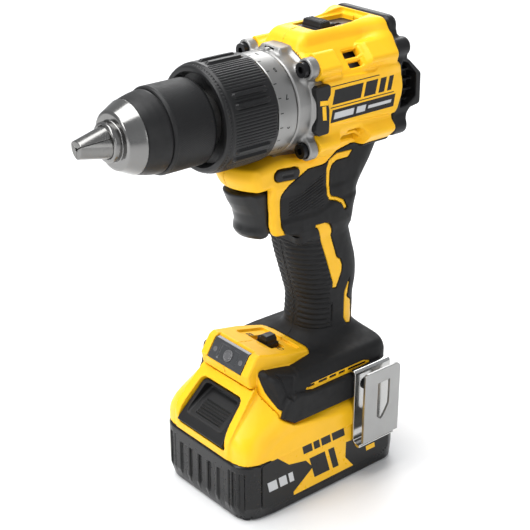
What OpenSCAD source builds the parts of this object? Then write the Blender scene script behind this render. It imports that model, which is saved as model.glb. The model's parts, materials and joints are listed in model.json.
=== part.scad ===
// Cordless drill driver on a slide-on battery pack.
// Millimetres, +Z up, +X towards the chuck, +Y the tool's left.
// The origin is the centre of the battery's bottom face.

/* [Drive line] */
// Height of the spindle axis above the battery's bottom face
axis_z = 212.6; // [212:0.1:213.2]
// Gear module
gear_m = 0.8; // [0.8:0.1:0.8]
// Teeth on both sun gears
sun_teeth = 12; // [12:1:12]
// Teeth on each planet gear
planet_teeth = 15; // [15:1:15]
// Teeth on both ring gears
ring_teeth = 42; // [42:1:42]

/* [Chuck] */
// Where the three closed jaw tips end
jaw_tip_x = 120.8; // [119:0.1:122]
// Inclination of each jaw to the spindle axis
jaw_tilt = 15; // [14:0.5:15]
// Radius of a jaw's round stock
jaw_r = 4.0; // [3.6:0.1:4.0]
// Length of a jaw
jaw_l = 34; // [32:1:35]
// Outer radius of the chuck sleeve's grip
sleeve_r = 20.9; // [20.4:0.1:21.4]
// Radius of the bit bore through the chuck body
bit_bore_r = 6.8; // [6.5:0.1:7]

/* [Clutch collar] */
// Outer radius of the collar's grip
collar_r = 26.6; // [26:0.1:27]
// Front face of the collar
collar_x1 = 55.8; // [55:0.1:56]
// Rear edge of the collar's grip, where the scale ring starts
collar_x0 = 25; // [25:0.1:25.5]
// Outer radius of the scale ring
scale_r = 25.7; // [25:0.1:26]

/* [Motor housing] */
// Radius of the yellow barrel round the motor
barrel_r = 27; // [26.5:0.1:27.5]
// Half width of the barrel across its flat sides
barrel_hw = 26.2; // [26:0.1:26.5]
// Rear face of the barrel, where the rear cap starts
barrel_x0 = -50; // [-50:1:-50]
// Front face of the barrel, where the gearcase starts
barrel_x1 = -3; // [-3:1:-3]
// Screw bosses: distance from the axis along Y
boss_y = 22.5; // [22:0.1:22.8]
// Screw bosses: distance from the axis along Z
boss_z = 20.3; // [20:0.1:20.6]
// Radius of the motor's stator stack
stator_r = 23; // [23:0.1:23]

/* [Handle] */
// Half width of the handle's moulding across Y
handle_hw = 15; // [14.6:0.1:15.2]
// Thickness of the soft grip over the handle
grip_t = 2; // [1.8:0.1:2.2]
// Wall of the handle's moulding
wall = 3; // [2.8:0.1:3]

/* [Foot and battery] */
// Length of the battery along X
battery_l = 112.5; // [112:0.5:113]
// Width of the battery along Y
battery_w = 72.6; // [72.2:0.2:72.6]
// Corner radius of the battery in plan
battery_corner = 12; // [11:1:13]
// Height of the join between lower and upper battery case
battery_split_z = 35; // [34:1:35]
// Height of the battery's shoulder, where it meets the foot
battery_top_z = 50; // [50:1:50]
// Half width of the foot
foot_hw = 34; // [34:0.5:34.5]

// Battery case wall
case_wall = 2.6; // [2.4:0.1:2.8]

/* [Hidden] */
$fn = 48;
eps = 0.02;
yellow = [1.0, 0.76, 0.1];
black = [0.09, 0.09, 0.1];
steel = [0.76, 0.77, 0.79];
hull_fn = 32;

pressure_angle = 25;
addendum = 0.9 * gear_m;
dedendum = 1.15 * gear_m;
// Each flank is this much thinner than a tight mesh
flank_gap = 0.05;
planet_centre_r = gear_m * (sun_teeth + planet_teeth) / 2;
planet_count = 3;
shaft_r = 2.5;
planet_pin_r = 1.5;
run_gap = 0.05;
// First and second stage, from the motor forwards
stage1_x0 = 2.2;
stage1_x1 = 8.8;
carrier1_x0 = 9.6;
carrier1_x1 = 12;
stage2_x0 = 13;
stage2_x1 = 23.4;
spindle_flange_x0 = 24.2;
spindle_flange_x1 = 27;
carrier_r = 15.4;
spindle_r = 8;
ring_r = 20;
gear_cavity_x0 = 1;
gear_cavity_x1 = 27.4;
nose_tube_r = 14;
nose_tube_x0 = 29.5;
nose_tube_x1 = 54;
bearing_r = 12;
shift_hw = 3;

chuck_x0 = 58;
nut_x0 = 78.5;
nut_x1 = 87.5;
nut_r = 17.6;
chuck_r = 17.4;
border_x = 94;
nose_x = 102;
nose_r = 13.8;
nose_ring_x = 106.2;
nose_ring_r = 9.4;
spindle_thread_r = 6.35;
spindle_end_x = 74;

battery_base_z = 0;
tower_hw = 25;
tower_top_z = 60;
foot_z0 = 50.6;
foot_z1 = 69;
foot_x0 = -54;
foot_x1 = 31;
// Handle sections: height, centre along X, half length along X
handle_rings = [[150, -15.5, 20.4], [118, -23.2, 18.8], [97, -25.4, 15.8], [84, -25, 17.5]];
// Light module: the lens runs from its upper to its lower edge
lens_top = [34.4, 85];
lens_low = [40, 76.6];
lens_hw = 13.7;
lens_t = 2.5;
light_hw = 19.2;
// Belt hook: strap along the foot's side, bend, and outer tongue
hook_x0 = -44;
hook_x1 = -18;
hook_t = 1.6;
hook_y = 36.6;
hook_bend_r = 3.1;
hook_bend_z = 27;
window_x = -31.5;
window_r = 4.6;
insert_x = -27;
insert_z = 57;
screw_hole_r = 1.65;
// Clamshell screws: X and Z of each
shell_screws = [[-36, 173], [29, 179], [-23, 124], [-25.4, 92]];
shell_screw_r = 1.4;
pillar_r = 4.2;
battery_screw_r = 1.6;
big = 400;

// ---------- shared shapes ----------

// Cylinder along X on a line at (y, z) from the spindle axis
module xcyl(r, x0, x1, y = 0, z = 0)
    translate([x0, y, axis_z + z]) rotate([0, 90, 0]) cylinder(r = r, h = x1 - x0);

// Cone or tube profile turned about the spindle axis; points are [x, r]
module xturn(points)
    translate([0, 0, axis_z]) rotate([0, 90, 0]) rotate([0, 0, 180])
        rotate_extrude() polygon([for (p = points) [p[1], p[0]]]);

// Cylinder along Y
module ycyl(r, y0, y1, x, z)
    translate([x, y1, z]) rotate([90, 0, 0]) cylinder(r = r, h = y1 - y0);

// Side outline in X and Z, extruded along Y
module slab(points, y0, y1)
    translate([0, y1, 0]) rotate([90, 0, 0]) linear_extrude(y1 - y0) polygon(points);

// Box by its two corners
module block(low, high) translate(low) cube(high - low);

// Box with round upright corners
module round_block(low, high, r) {
    block([low[0] + r, low[1], low[2]], [high[0] - r, high[1], high[2]]);
    block([low[0], low[1] + r, low[2]], [high[0], high[1] - r, high[2]]);
    for (x = [low[0] + r, high[0] - r], y = [low[1] + r, high[1] - r])
        translate([x, y, low[2]]) cylinder(r = r, h = high[2] - low[2]);
}

// Copies at the four screw bosses round the spindle axis
module at_bosses()
    for (sy = [-1, 1], sz = [-1, 1]) translate([0, sy * boss_y, sz * boss_z]) children();

// Closed-coil spring along X or any axis set by the caller, as one swept tube
module helix(r, wire_r, length, turns) {
    sides = 6;
    rings = turns * 14;
    ring_pts = [for (i = [0:rings]) let (a = 360 * turns * i / rings, h = length * i / rings)
        for (j = [0:sides - 1]) let (b = 360 * j / sides, q = r + wire_r * cos(b))
            [q * cos(a), q * sin(a), h + wire_r * sin(b)]];
    caps = [[for (j = [sides - 1:-1:0]) j], [for (j = [0:sides - 1]) rings * sides + j]];
    walls = [for (i = [0:rings - 1], j = [0:sides - 1]) let (k = (j + 1) % sides)
        [i * sides + j, i * sides + k, (i + 1) * sides + k, (i + 1) * sides + j]];
    polyhedron(ring_pts, concat(caps, walls), convexity = 8);
}

// ---------- gears ----------

function involute(r, base_r) = r <= base_r ? 0 :
    let (a = acos(base_r / r)) tan(a) * 180 / PI - a;

// Half the angle that a tooth spans at radius r
function half_tooth(r, n, gap) = let (rp = gear_m * n / 2, rb = rp * cos(pressure_angle))
    (PI * gear_m / 2 - 2 * gap) / (2 * rp) * 180 / PI
    + involute(rp, rb) - involute(max(r, rb), rb);

// Outline of an n-tooth gear with the given tip and root heights about the pitch circle
function gear_points(n, tip, root, gap, phase) =
    let (rp = gear_m * n / 2, r0 = rp - root, r1 = rp + tip, steps = 3,
        radii = [for (i = [0:steps]) r0 + (r1 - r0) * i / steps])
    [for (t = [0:n - 1]) let (c = phase + 360 * t / n)
        for (i = [0:2 * steps + 1])
            let (r = radii[i <= steps ? i : 2 * steps + 1 - i], s = i <= steps ? -1 : 1,
                a = c + s * half_tooth(r, n, gap)) r * [cos(a), sin(a)]];

// Lays a gear outline across the spindle axis, from x0 to x1, round a centre at angle and radius
module gear_bar(n, x0, x1, tip, root, gap, phase, angle = 0, centre_r = 0)
    translate([x0, centre_r * cos(angle), axis_z + centre_r * sin(angle)])
        rotate([90, 0, 90]) linear_extrude(x1 - x0)
            polygon(gear_points(n, tip, root, gap, phase));

module sun_teeth_bar(x0, x1)
    gear_bar(sun_teeth, x0, x1, addendum, dedendum, flank_gap, 0);

// Planet k of a stage, with its bore on the carrier's pin
module planet(k, x0, x1) {
    angle = 360 * k / planet_count;
    colour_bar = [0.6, 0.6, 0.62];
    color(colour_bar) difference() {
        gear_bar(planet_teeth, x0, x1, addendum, dedendum, flank_gap,
            angle + 180 - 180 / planet_teeth, angle, planet_centre_r);
        xcyl(planet_pin_r + run_gap, x0 - 1, x1 + 1,
            planet_centre_r * cos(angle), planet_centre_r * sin(angle));
    }
}

// Ring gear: round outside, gear-shaped space inside
module ring_gear(x0, x1, outer_r) color([0.5, 0.5, 0.52]) difference() {
    xcyl(outer_r, x0, x1);
    gear_bar(ring_teeth, x0 - 1, x1 + 1, dedendum, addendum, -flank_gap, 0);
}

// Carrier pins of a stage
module planet_pins(x0, x1)
    for (k = [0:planet_count - 1]) let (a = 360 * k / planet_count)
        xcyl(planet_pin_r, x0, x1, planet_centre_r * cos(a), planet_centre_r * sin(a));

// ---------- housing ----------

// One stretch of the handle: round-ended section grown by g
module handle_disc(ring, g) {
    hw = handle_hw + g;
    a = ring[2] + g - hw * 0.85;
    for (s = [-1, 1]) translate([ring[1] + s * a, 0, ring[0]])
        scale([0.85, 1, 1]) cylinder(r = hw, h = 0.1, $fn = hull_fn);
}

module handle_solid(g) for (i = [0:2])
    hull() { handle_disc(handle_rings[i], g); handle_disc(handle_rings[i + 1], g); }

// Outline of the neck between barrel and handle, with the shroud over the trigger
neck_points = [[-50, 205], [-3, 205], [-3, 184.4], [37, 184.4], [38.4, 181], [36, 173.6],
    [22, 173.4], [19, 168], [16.5, 150], [13, 145.4], [6.4, 145], [5.5, 148], [-35, 148], [-43, 160],
    [-51, 171], [-55.6, 181], [-55, 184.6], [-50, 184.6]];
neck_hw = 17;
neck_space = [[-46, 202], [-6, 202], [-6, 181], [33, 181], [33, 176.6], [19, 176],
    [5.6, 167], [1.5, 146], [-33, 146], [-40, 162], [-46, 173]];
neck_space_hw = 13.6;

// Side outline of the light module at the front of the foot
light_points = [[-4, 64], [-4, 77], [33, 86], lens_top, lens_low, [38.4, 70], [34, 64]];

module housing_outer() {
    intersection() {
        xcyl(barrel_r, barrel_x0, barrel_x1);
        block([barrel_x0, -barrel_hw, 0], [barrel_x1, barrel_hw, 300]);
    }
    at_bosses() { xcyl(6, -50, -28); xcyl(6, -14, barrel_x1); }
    // hump over the speed selector
    block([-48, -14, axis_z + 20], [barrel_x1, 14, axis_z + 34]);
    block([barrel_x1 - eps, -14, axis_z + 29.4], [0, 14, axis_z + 34]);
    slab(neck_points, -neck_hw, neck_hw);
    handle_solid(0);
    round_block([foot_x0, -foot_hw, foot_z0], [foot_x1, foot_hw, foot_z1], 9);
    slab([[-52, foot_z1 - 1], [-50, 73], [-45, 76], [-6, 76.6], [10, 76.4], [18, 74.4],
        [26, foot_z1 - 1]], -30, 30);
    slab([[-50, foot_z1 - 1], [-46, 77], [-43, 85], [-8, 85], [0, 76], [12, foot_z1 - 1]],
        -22, 22);
    slab(light_points, -light_hw, light_hw);
}

module housing_spaces() {
    xcyl(stator_r, barrel_x0 - 1, barrel_x1 + 1);
    slab(neck_space, -neck_space_hw, neck_space_hw);
    handle_solid(-wall);
    // electronics in the foot
    block([-45, -19, foot_z0 - 1], [2, 19, 82]);
    // battery rails, open to the front
    block([-48, -tower_hw - 0.3, foot_z0 - 1], [foot_x1 + 10, tower_hw + 0.3, tower_top_z + 0.4]);
    // light module
    slab([[0, 66], [0, 72], [31, 79.4], [35.6, 72.6], [35, 70], [32.6, 66]], -16, 16);
    // lens seat, mode switch pocket and slot
    lens_solid(0, lens_t);
    lens_solid(lens_t - eps, 8, -0.8);
    block([2, -10, 78], [20, 10, 90]);
    block([7, -7, 72], [15, 7, 80]);
    // speed selector recess and its slot
    block([-46, -8.4, 241.2], [-7, 8.4, 260]);
    block([-44, -3.4, 230], [barrel_x1 + 5, 3.4, 244]);
    // trigger plunger, trigger pocket
    block([0, -12.4, 144], [34, 12.4, 173.2]);
    // direction button
    direction_bar(0.25, 30);
    // gearcase screws and rear cap screws
    at_bosses() { xcyl(2, -12.6, 10); xcyl(1.8, -60, -31); }
    // nose of the speed link
    xcyl(ring_r, barrel_x1 - 1, barrel_x1 + 1);
}

// Holes of the clamshell screws, with counterbores on the right
module shell_screw_holes() for (p = shell_screws) {
    ycyl(shell_screw_r, -30, 10, p[0], p[1]);
    ycyl(3, -60, -9, p[0], p[1]);
}

module shell_pillars() difference() {
    for (p = shell_screws) ycyl(pillar_r, -14, 14, p[0], p[1]);
    shell_screw_holes();
}

module housing_body() {
    difference() {
        housing_outer();
        housing_spaces();
        shell_screw_holes();
        // belt hook slot on the left, insert seats on both sides
        block([hook_x0 - 0.3, foot_hw - 2, 64.8], [hook_x1 + 0.3, foot_hw + 10, 67.4]);
        for (s = [-1, 1]) ycyl(3, s > 0 ? 25.9 : -40, s > 0 ? 40 : -25.9, insert_x, insert_z);
        // side badge seats
        for (s = [-1, 1]) badge(s);
    }
    shell_pillars();
}

module left_housing() color(yellow)
    intersection() { housing_body(); block([-200, 0, 0], [200, 100, 300]); }

module right_housing() color(yellow)
    intersection() { housing_body(); block([-200, -100, 0], [200, 0, 300]); }

// Soft grip over one half of the handle
module grip_half(side) color(black) difference() {
    intersection() {
        handle_solid(grip_t);
        block([-90, side > 0 ? 0 : -60, 85.2], [60, side > 0 ? 60 : 0, 147.8]);
    }
    handle_solid(0);
    // room for the trigger and its pocket
    block([-1, -60, 144], [60, 60, 160]);
    for (p = shell_screws) ycyl(3.1, -60, -9, p[0], p[1]);
}
module left_grip() grip_half(1);
module right_grip() grip_half(-1);

// Badge set into the side of the barrel
module badge(side) {
    y0 = side > 0 ? barrel_hw - 1.2 : -barrel_hw - 1.6;
    translate([0, 0, axis_z]) block([-12, y0, -9], [barrel_x1, y0 + 2.8, 9]);
}
module side_badges() color(black) for (s = [-1, 1]) badge(s);

module housing_screws() color(black) for (p = shell_screws) {
    ycyl(shell_screw_r, -9, 10, p[0], p[1]);
    difference() {
        ycyl(2.9, -11.6, -9, p[0], p[1]);
        ycyl(1.4, -12, -10.2, p[0], p[1]);
    }
}

// Rear cap with side lobes, bearing boss and four screw bosses
cap_x0 = -70.8;
module rear_cap() color(black) difference() {
    union() {
        intersection() {
            xturn([[-50, 0], [-50, 26.8], [-57, 26.6], [-63, 24.6], [-67.4, 20.4], [-69, 14], [-69, 0]]);
            block([-90, -barrel_hw, 0], [0, barrel_hw, 300]);
        }
        for (s = [-1, 1]) translate([0, s * 19, 0])
            block([cap_x0, -5.6, axis_z - 12], [-50, 5.6, axis_z + 6]);
        at_bosses() xcyl(5.8, -60, -50);
    }
    difference() {
        xcyl(20.6, -64, -49);
        xcyl(9.6, -64.1, -57);
    }
    // bearing seat and shaft clearance
    xcyl(6.5, -62, -49);
    at_bosses() { xcyl(1.9, -61, -49); xcyl(3.4, -72, -58); }
    // air slots in both lobes
    for (s = [-1, 1], k = [0:2]) translate([0, s * 22, 0])
        block([-66, -6, axis_z - 10 + 5 * k], [-55, 6, axis_z - 7.2 + 5 * k]);
}

module rear_cap_screws() color(black) at_bosses() difference() {
    union() { xcyl(1.8, -58, -32); xcyl(3.3, -61, -58); }
    xcyl(1.4, -62, -59.4);
}

// ---------- gearcase ----------

module gearcase() color(steel) difference() {
    union() {
        xcyl(25.2, barrel_x1, 13);
        at_bosses() xcyl(6, barrel_x1, 6);
        for (sy = [-1, 1], sz = [-1, 1]) translate([barrel_x1, 0, axis_z])
            rotate([sy * sz * atan2(boss_z, boss_y) + (sy < 0 ? 180 : 0), 0, 0])
                block([0, 0, -6], [6 - barrel_x1, norm([boss_y, boss_z]), 6]);
        block([barrel_x1, -13, axis_z], [13, 13, axis_z + 29]);
        block([barrel_x1, -14, axis_z - 28], [13, 14, axis_z]);
        xcyl(22, 12, nose_tube_x0);
        xcyl(nose_tube_r, nose_tube_x0 - 1, nose_tube_x1);
    }
    xcyl(ring_r, gear_cavity_x0, gear_cavity_x1);
    // motor bearing seat, spindle clearance, spindle bearing seat
    xcyl(8, barrel_x1 - 1, gear_cavity_x0 + 1);
    xcyl(9, gear_cavity_x1 - 1, 45);
    xcyl(bearing_r, 44, nose_tube_x1 + 1);
    at_bosses() { xcyl(2.2, -4, 7); xcyl(4, 6, 14); }
    // slot for the shift fork
    block([-4, -shift_hw - 0.3, axis_z + 15], [26, shift_hw + 0.3, axis_z + 40]);
}

module gearcase_screws() color(black) at_bosses() difference() {
    union() { xcyl(2, -12, 6); xcyl(3.7, 6, 9.4); }
    xcyl(1.7, 7.6, 10);
}

module ring_gear_1() ring_gear(gear_cavity_x0, 9.2, ring_r);

module spindle_bearing() color(steel) difference() {
    xcyl(bearing_r, 44, 52);
    xcyl(spindle_r + run_gap, 43, 53);
}

// ---------- motor ----------

module motor_stator() color([0.35, 0.36, 0.38]) difference() {
    xcyl(stator_r, -42, -10);
    xcyl(13.3, -43, -9);
    for (k = [0:5]) coil_at(k, -43, -9, 0);
}

module coil_at(k, x0, x1, g)
    translate([0, 0, axis_z]) rotate([60 * k, 0, 0])
        block([x0, 15 + g, -4 + g], [x1, 20 - g, 4 - g]);

module stator_coils() color([0.72, 0.42, 0.2]) for (k = [0:5]) coil_at(k, -44, -8, 0.1);

module motor_bearings() color(steel) {
    difference() { xcyl(8, barrel_x1, gear_cavity_x0); xcyl(shaft_r + run_gap, -4, 2); }
    difference() { xcyl(6.5, -62, -58); xcyl(shaft_r + run_gap, -63, -57); }
}

module rotor() color([0.45, 0.45, 0.47]) difference() {
    xcyl(12.8, -40, -12);
    xcyl(shaft_r, -41, -11);
    for (k = [0:7]) translate([0, 0, axis_z]) rotate([45 * k, 0, 0])
        block([-41, 11.9, -0.5], [-11, 14, 0.5]);
}

module motor_shaft() color(steel) {
    xcyl(shaft_r, -61.6, stage1_x0);
    sun_teeth_bar(stage1_x0 - 0.2, stage1_x1);
}

module fan() color(black) difference() {
    union() {
        xcyl(19, -46.5, -45);
        xcyl(5, -52, -45);
        for (k = [0:10]) translate([0, 0, axis_z]) rotate([360 / 11 * k, 0, 0])
            rotate([18, 0, 0]) block([-52, 4, -0.6], [-46, 18.4, 0.6]);
    }
    xcyl(shaft_r, -53, -44);
}

// ---------- planet stages ----------

module carrier_1() color(steel) {
    xcyl(carrier_r, carrier1_x0, carrier1_x1);
    planet_pins(stage1_x0, carrier1_x0 + eps);
    sun_teeth_bar(carrier1_x1 - eps, stage2_x1);
}

module planet_1a() planet(0, stage1_x0, stage1_x1);
module planet_1b() planet(1, stage1_x0, stage1_x1);
module planet_1c() planet(2, stage1_x0, stage1_x1);
module planet_2a() planet(0, stage2_x0, stage2_x1);
module planet_2b() planet(1, stage2_x0, stage2_x1);
module planet_2c() planet(2, stage2_x0, stage2_x1);

ring2_x0 = 17;
ring2_x1 = 24;
module ring_gear_2() difference() {
    ring_gear(ring2_x0, ring2_x1, ring_r - 0.1);
    color(steel) difference() { xcyl(30, 19.6, 22.2); xcyl(18.9, 19, 23); }
}

// Fork: pin in the ring's groove, arm under the collar, riser and link behind it
module shift_fork() color(steel) {
    block([19.8, -2.6, axis_z + 19], [22, 2.6, axis_z + 21.6]);
    block([2.6, -2.6, axis_z + 20.4], [22, 2.6, axis_z + 21.6]);
    block([2.6, -2.6, axis_z + 20.4], [5, 2.6, axis_z + 26.6]);
    block([-24, -2.6, axis_z + 25], [5, 2.6, axis_z + 26.6]);
}

module speed_selector() color(black) {
    block([-21, -7.6, 241.6], [-9, 7.6, 246]);
    for (k = [0:3]) block([-19.6 + 2.8 * k, -7, 246 - eps], [-18.2 + 2.8 * k, 7, 248.8]);
    block([-18, -3, 239.6], [-12, 3, 241.6 + eps]);
}

// ---------- clutch ----------

module clutch_collar() color(black) difference() {
    union() {
        xturn([[collar_x0, 22.3], [collar_x0, collar_r - 0.6], [27, collar_r], [52.4, collar_r],
            [collar_x1, 25.3], [collar_x1, 22.5], [53, 22.5], [53, nose_tube_r + 0.3],
            [50, nose_tube_r + 0.3], [50, 20.7], [30.5, 20.7], [30.5, 22.3]]);
        for (k = [0:11]) translate([0, 0, axis_z]) rotate([30 * k, 0, 0])
            block([28, collar_r - 1, -1.6], [50, collar_r + 0.7, 1.6]);
    }
}

module clutch_scale() color(steel)
    xturn([[13.4, 22.3], [13.4, scale_r - 0.8], [14.2, scale_r], [collar_x0, scale_r],
        [collar_x0, 22.3]]);

module clutch_nut() color(steel) difference() {
    xcyl(20.4, 38.2, 44);
    xcyl(nose_tube_r + 0.1, 37, 45);
}

module clutch_spring() color(steel) translate([30.3, 0, axis_z]) rotate([0, 90, 0])
    helix(17.2, 0.7, 7.1, 3);

// ---------- spindle and chuck ----------

module spindle() color(steel) difference() {
    union() {
        xcyl(carrier_r, spindle_flange_x0, spindle_flange_x1);
        xcyl(spindle_r, spindle_flange_x1 - eps, chuck_x0);
        xcyl(spindle_thread_r, chuck_x0 - eps, spindle_end_x);
        planet_pins(stage2_x0 - 0.4, spindle_flange_x0 + eps);
    }
    xcyl(3, 60, spindle_end_x + 1);
}

// A round bar on jaw k's line, from the tip back and out
module jaw_line(k, r, from, to)
    translate([jaw_tip_x, 0, axis_z]) rotate([120 * k + 90, 0, 0]) rotate([0, 0, 180])
        rotate([0, 0, -jaw_tilt]) rotate([0, 90, 0]) translate([0, 0, from])
            cylinder(r = r, h = to - from);

module chuck_body() color(steel) difference() {
    xturn([[chuck_x0, 0], [chuck_x0, 12], [62, 12], [62, chuck_r], [nut_x0 - 0.2, chuck_r],
        [nut_x0 - 0.2, 12.2], [nut_x1 + 0.2, 12.2], [nut_x1 + 0.2, 16.8], [border_x + 0.2, 16.8],
        [border_x + 0.2, 17.5], [nose_x, nose_r], [nose_x, nose_ring_r], [nose_ring_x, nose_ring_r],
        [nose_ring_x, 0]]);
    xcyl(spindle_thread_r, chuck_x0 - 1, spindle_end_x);
    xcyl(3, spindle_end_x - 1, 79);
    xcyl(bit_bore_r, 78, nose_ring_x + 1);
    for (k = [0:2]) jaw_line(k, jaw_r + 0.08, -5, 62);
}

module chuck_screw() color(black) difference() {
    union() { xcyl(3, 61, 78); xcyl(5, 78, 82); }
    xcyl(1.9, 80, 83);
}

module chuck_sleeve() color(black) {
    xturn([[57.4, 12.3], [57.4, 19.6], [58.4, sleeve_r - 0.4], [60, sleeve_r], [80.6, sleeve_r],
        [81.6, 20.2], [81.6, 19.2], [82.2, 19.2], [82.2, 19.5], [border_x - 0.2, 17.7],
        [border_x - 0.2, 16.95], [nut_x1 + 0.4, 16.95], [nut_x1 + 0.4, nut_r], [nut_x0, nut_r],
        [nut_x0, 18.8], [60, 18.8], [60, 12.3]]);
}

// Split nut on the jaws' threads, its bore clear of the jaw backs
jaw_edge = jaw_r / cos(jaw_tilt) + 0.15;
function jaw_back_r(x) = (jaw_tip_x - x) * tan(jaw_tilt) + jaw_edge;
module chuck_nut() color(steel)
    xturn([[nut_x0, jaw_back_r(nut_x0)], [nut_x0, nut_r], [nut_x1, nut_r],
        [nut_x1, jaw_back_r(nut_x1)]]);

// Jaw k: round stock cut to a 120 degree wedge where it meets the others
module jaw(k) color(steel) intersection() {
    jaw_line(k, jaw_r, 0, jaw_l);
    translate([0, 0, axis_z]) rotate([120 * k + 90, 0, 0]) jaw_wedge();
    block([0, -60, 0], [jaw_tip_x, 60, 400]);
}

// Wedge that opens towards +Y with its edge just off the spindle axis
wedge_gap = 0.06;
module jaw_wedge()
    rotate([0, 90, 0]) linear_extrude(big)
        polygon([[0, wedge_gap], [-60 * tan(60), 60], [60 * tan(60), 60]]);

module jaw_1() jaw(0);
module jaw_2() jaw(1);
module jaw_3() jaw(2);

// ---------- trigger, switch and electronics ----------

module trigger() color([0.3, 0.3, 0.31]) difference() {
    slab([[7.2, 150.4], [7.2, 170.6], [36.2, 172.6], [34.4, 166], [31.6, 158], [29.6, 151], [28.6, 146],
        [23, 145.2], [19, 149.4]], -11.6, 11.6);
    // seat of the return spring
    xbore(3.6, 6, 20, 160.5);
}

module xbore(r, x0, x1, z) translate([x0, 0, z]) rotate([0, 90, 0]) cylinder(r = r, h = x1 - x0);

module trigger_spring() color(steel) translate([0.4, 0, 160.5]) rotate([0, 90, 0])
    helix(2.4, 0.45, 18.8, 6);

module trigger_switch() color(black) difference() {
    block([-26, -9.6, 150.2], [-0.2, 9.6, 169.8]);
    xbore(3.4, -6, 1, 160.5);
}

// Bar of the direction button, grown by g and h long each way
module direction_bar(g, h) {
    for (x = [9, 17]) ycyl(4 + g, -h, h, x, 177.6 + 1.2);
    block([9, -h, 178.8 - 4 - g], [17, h, 178.8 + 4 + g]);
}
module direction_button() color(black) direction_bar(0, 20.4);

module control_module() color([0.2, 0.22, 0.24]) {
    block([-43, -17, 68.4], [-4, 17, 78]);
    for (k = [0:4]) block([-41 + 8 * k, -15, 78 - eps], [-38 + 8 * k, 15, 80.6]);
}

module terminal_block() color(black) {
    block([-40, -13, 60.6], [-18, 13, 66.4]);
    for (k = [0:3]) block([-37, -9.5 + 6 * k, 54], [-21, -8.5 + 6 * k, 60.6 + eps]);
}

// Slab behind the lens face, from depth d0 to d1
lens_dir = (lens_low - lens_top) / norm(lens_low - lens_top);
lens_in = [lens_dir[1], -lens_dir[0]];
module lens_solid(d0, d1, grow = 0)
    slab([lens_top - lens_dir * grow + lens_in * d0, lens_low + lens_dir * grow + lens_in * d0,
        lens_low + lens_dir * grow + lens_in * d1, lens_top - lens_dir * grow + lens_in * d1],
        -lens_hw - grow, lens_hw + grow);

module light_lens() color([0.86, 0.88, 0.88]) lens_solid(0, lens_t);
module light_board() color([0.9, 0.9, 0.86]) {
    lens_solid(lens_t + 1.4, lens_t + 2.6, -1);
    for (k = [-1:1]) translate([0, 8 * k, 0])
        slab([for (d = [[-1.5, 0.5], [1.5, 0.5], [1.5, 1.42], [-1.5, 1.42]])
            (lens_top + lens_low) / 2 + lens_dir * d[0] + lens_in * (lens_t + d[1])], -1.5, 1.5);
}

module light_switch() color(black) {
    block([8, -2.6, 73], [14, 2.6, 79]);
    block([7, -3.4, 78.4], [15, 3.4, 82]);
}

// ---------- belt hook ----------

module belt_hook() color(steel) difference() {
    union() {
        // strap down the foot's side
        block([hook_x0, hook_y, hook_bend_z], [hook_x1, hook_y + hook_t, 66.8]);
        // tab into the foot
        block([hook_x0, foot_hw - 1.9, 65.2], [hook_x1, hook_y + hook_t, 66.8]);
        // bend at the bottom
        intersection() {
            difference() {
                bend_cyl(hook_bend_r + hook_t, 0);
                bend_cyl(hook_bend_r, 1);
            }
            block([hook_x0, 0, 0], [hook_x1, 90, hook_bend_z]);
        }
        // outer tongue
        block([hook_x0, hook_y + hook_t + 2 * hook_bend_r, hook_bend_z],
            [hook_x1, hook_y + 2 * hook_t + 2 * hook_bend_r, 68]);
    }
    ycyl(2.1, 30, 41, insert_x, insert_z);
    // window in the tongue, screwdriver access through it
    block([window_x - window_r, 41, 40], [window_x + window_r, 60, 56]);
    for (z = [40, 56]) ycyl(window_r, 41, 60, window_x, z);
}
module bend_cyl(r, over) translate([hook_x0 - over, hook_y + hook_t + hook_bend_r, hook_bend_z])
    rotate([0, 90, 0]) cylinder(r = r, h = hook_x1 - hook_x0 + 2 * over);

module belt_hook_screw() color(black) difference() {
    union() {
        ycyl(1.6, 26.2, hook_y + hook_t, insert_x, insert_z);
        ycyl(3.4, hook_y + hook_t, hook_y + hook_t + 2, insert_x, insert_z);
    }
    ycyl(1.5, hook_y + hook_t + 0.8, 60, insert_x, insert_z);
}

// Brass inserts: the left one holds the hook's screw, the right one is free
module threaded_inserts() color([0.8, 0.65, 0.3]) for (s = [-1, 1]) mirror([0, s < 0 ? 1 : 0, 0])
    difference() {
        ycyl(3, 25.9, foot_hw, insert_x, insert_z);
        ycyl(s > 0 ? 1.6 : screw_hole_r, 25.9 + (s > 0 ? 0 : 0.5), foot_hw + 1, insert_x, insert_z);
    }

// ---------- battery ----------

latch_top = [39.5, 60.9];
latch_low = [54.3, 43.8];
latch_hw = 16;
latch_dir = (latch_low - latch_top) / norm(latch_low - latch_top);
latch_in = [latch_dir[1], -latch_dir[0]];

module battery_plan(z0, z1, inset)
    round_block([-battery_l / 2 + inset, -battery_w / 2 + inset, z0],
        [battery_l / 2 - inset, battery_w / 2 - inset, z1], battery_corner - inset);

module at_battery_screws() for (s = [-1, 1], t = [-1, 1]) translate([s * 49, t * 29, 0]) children();

module battery_lower_case() color(black) difference() {
    union() {
        difference() {
            battery_plan(battery_base_z, battery_split_z, 0);
            battery_plan(case_wall, battery_split_z + 1, case_wall);
        }
        at_battery_screws() cylinder(r = 3.2, h = 8);
    }
    at_battery_screws() {
        translate([0, 0, -1]) cylinder(r = battery_screw_r, h = 10);
        translate([0, 0, -1]) cylinder(r = 3, h = 2.6);
    }
}

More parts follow.
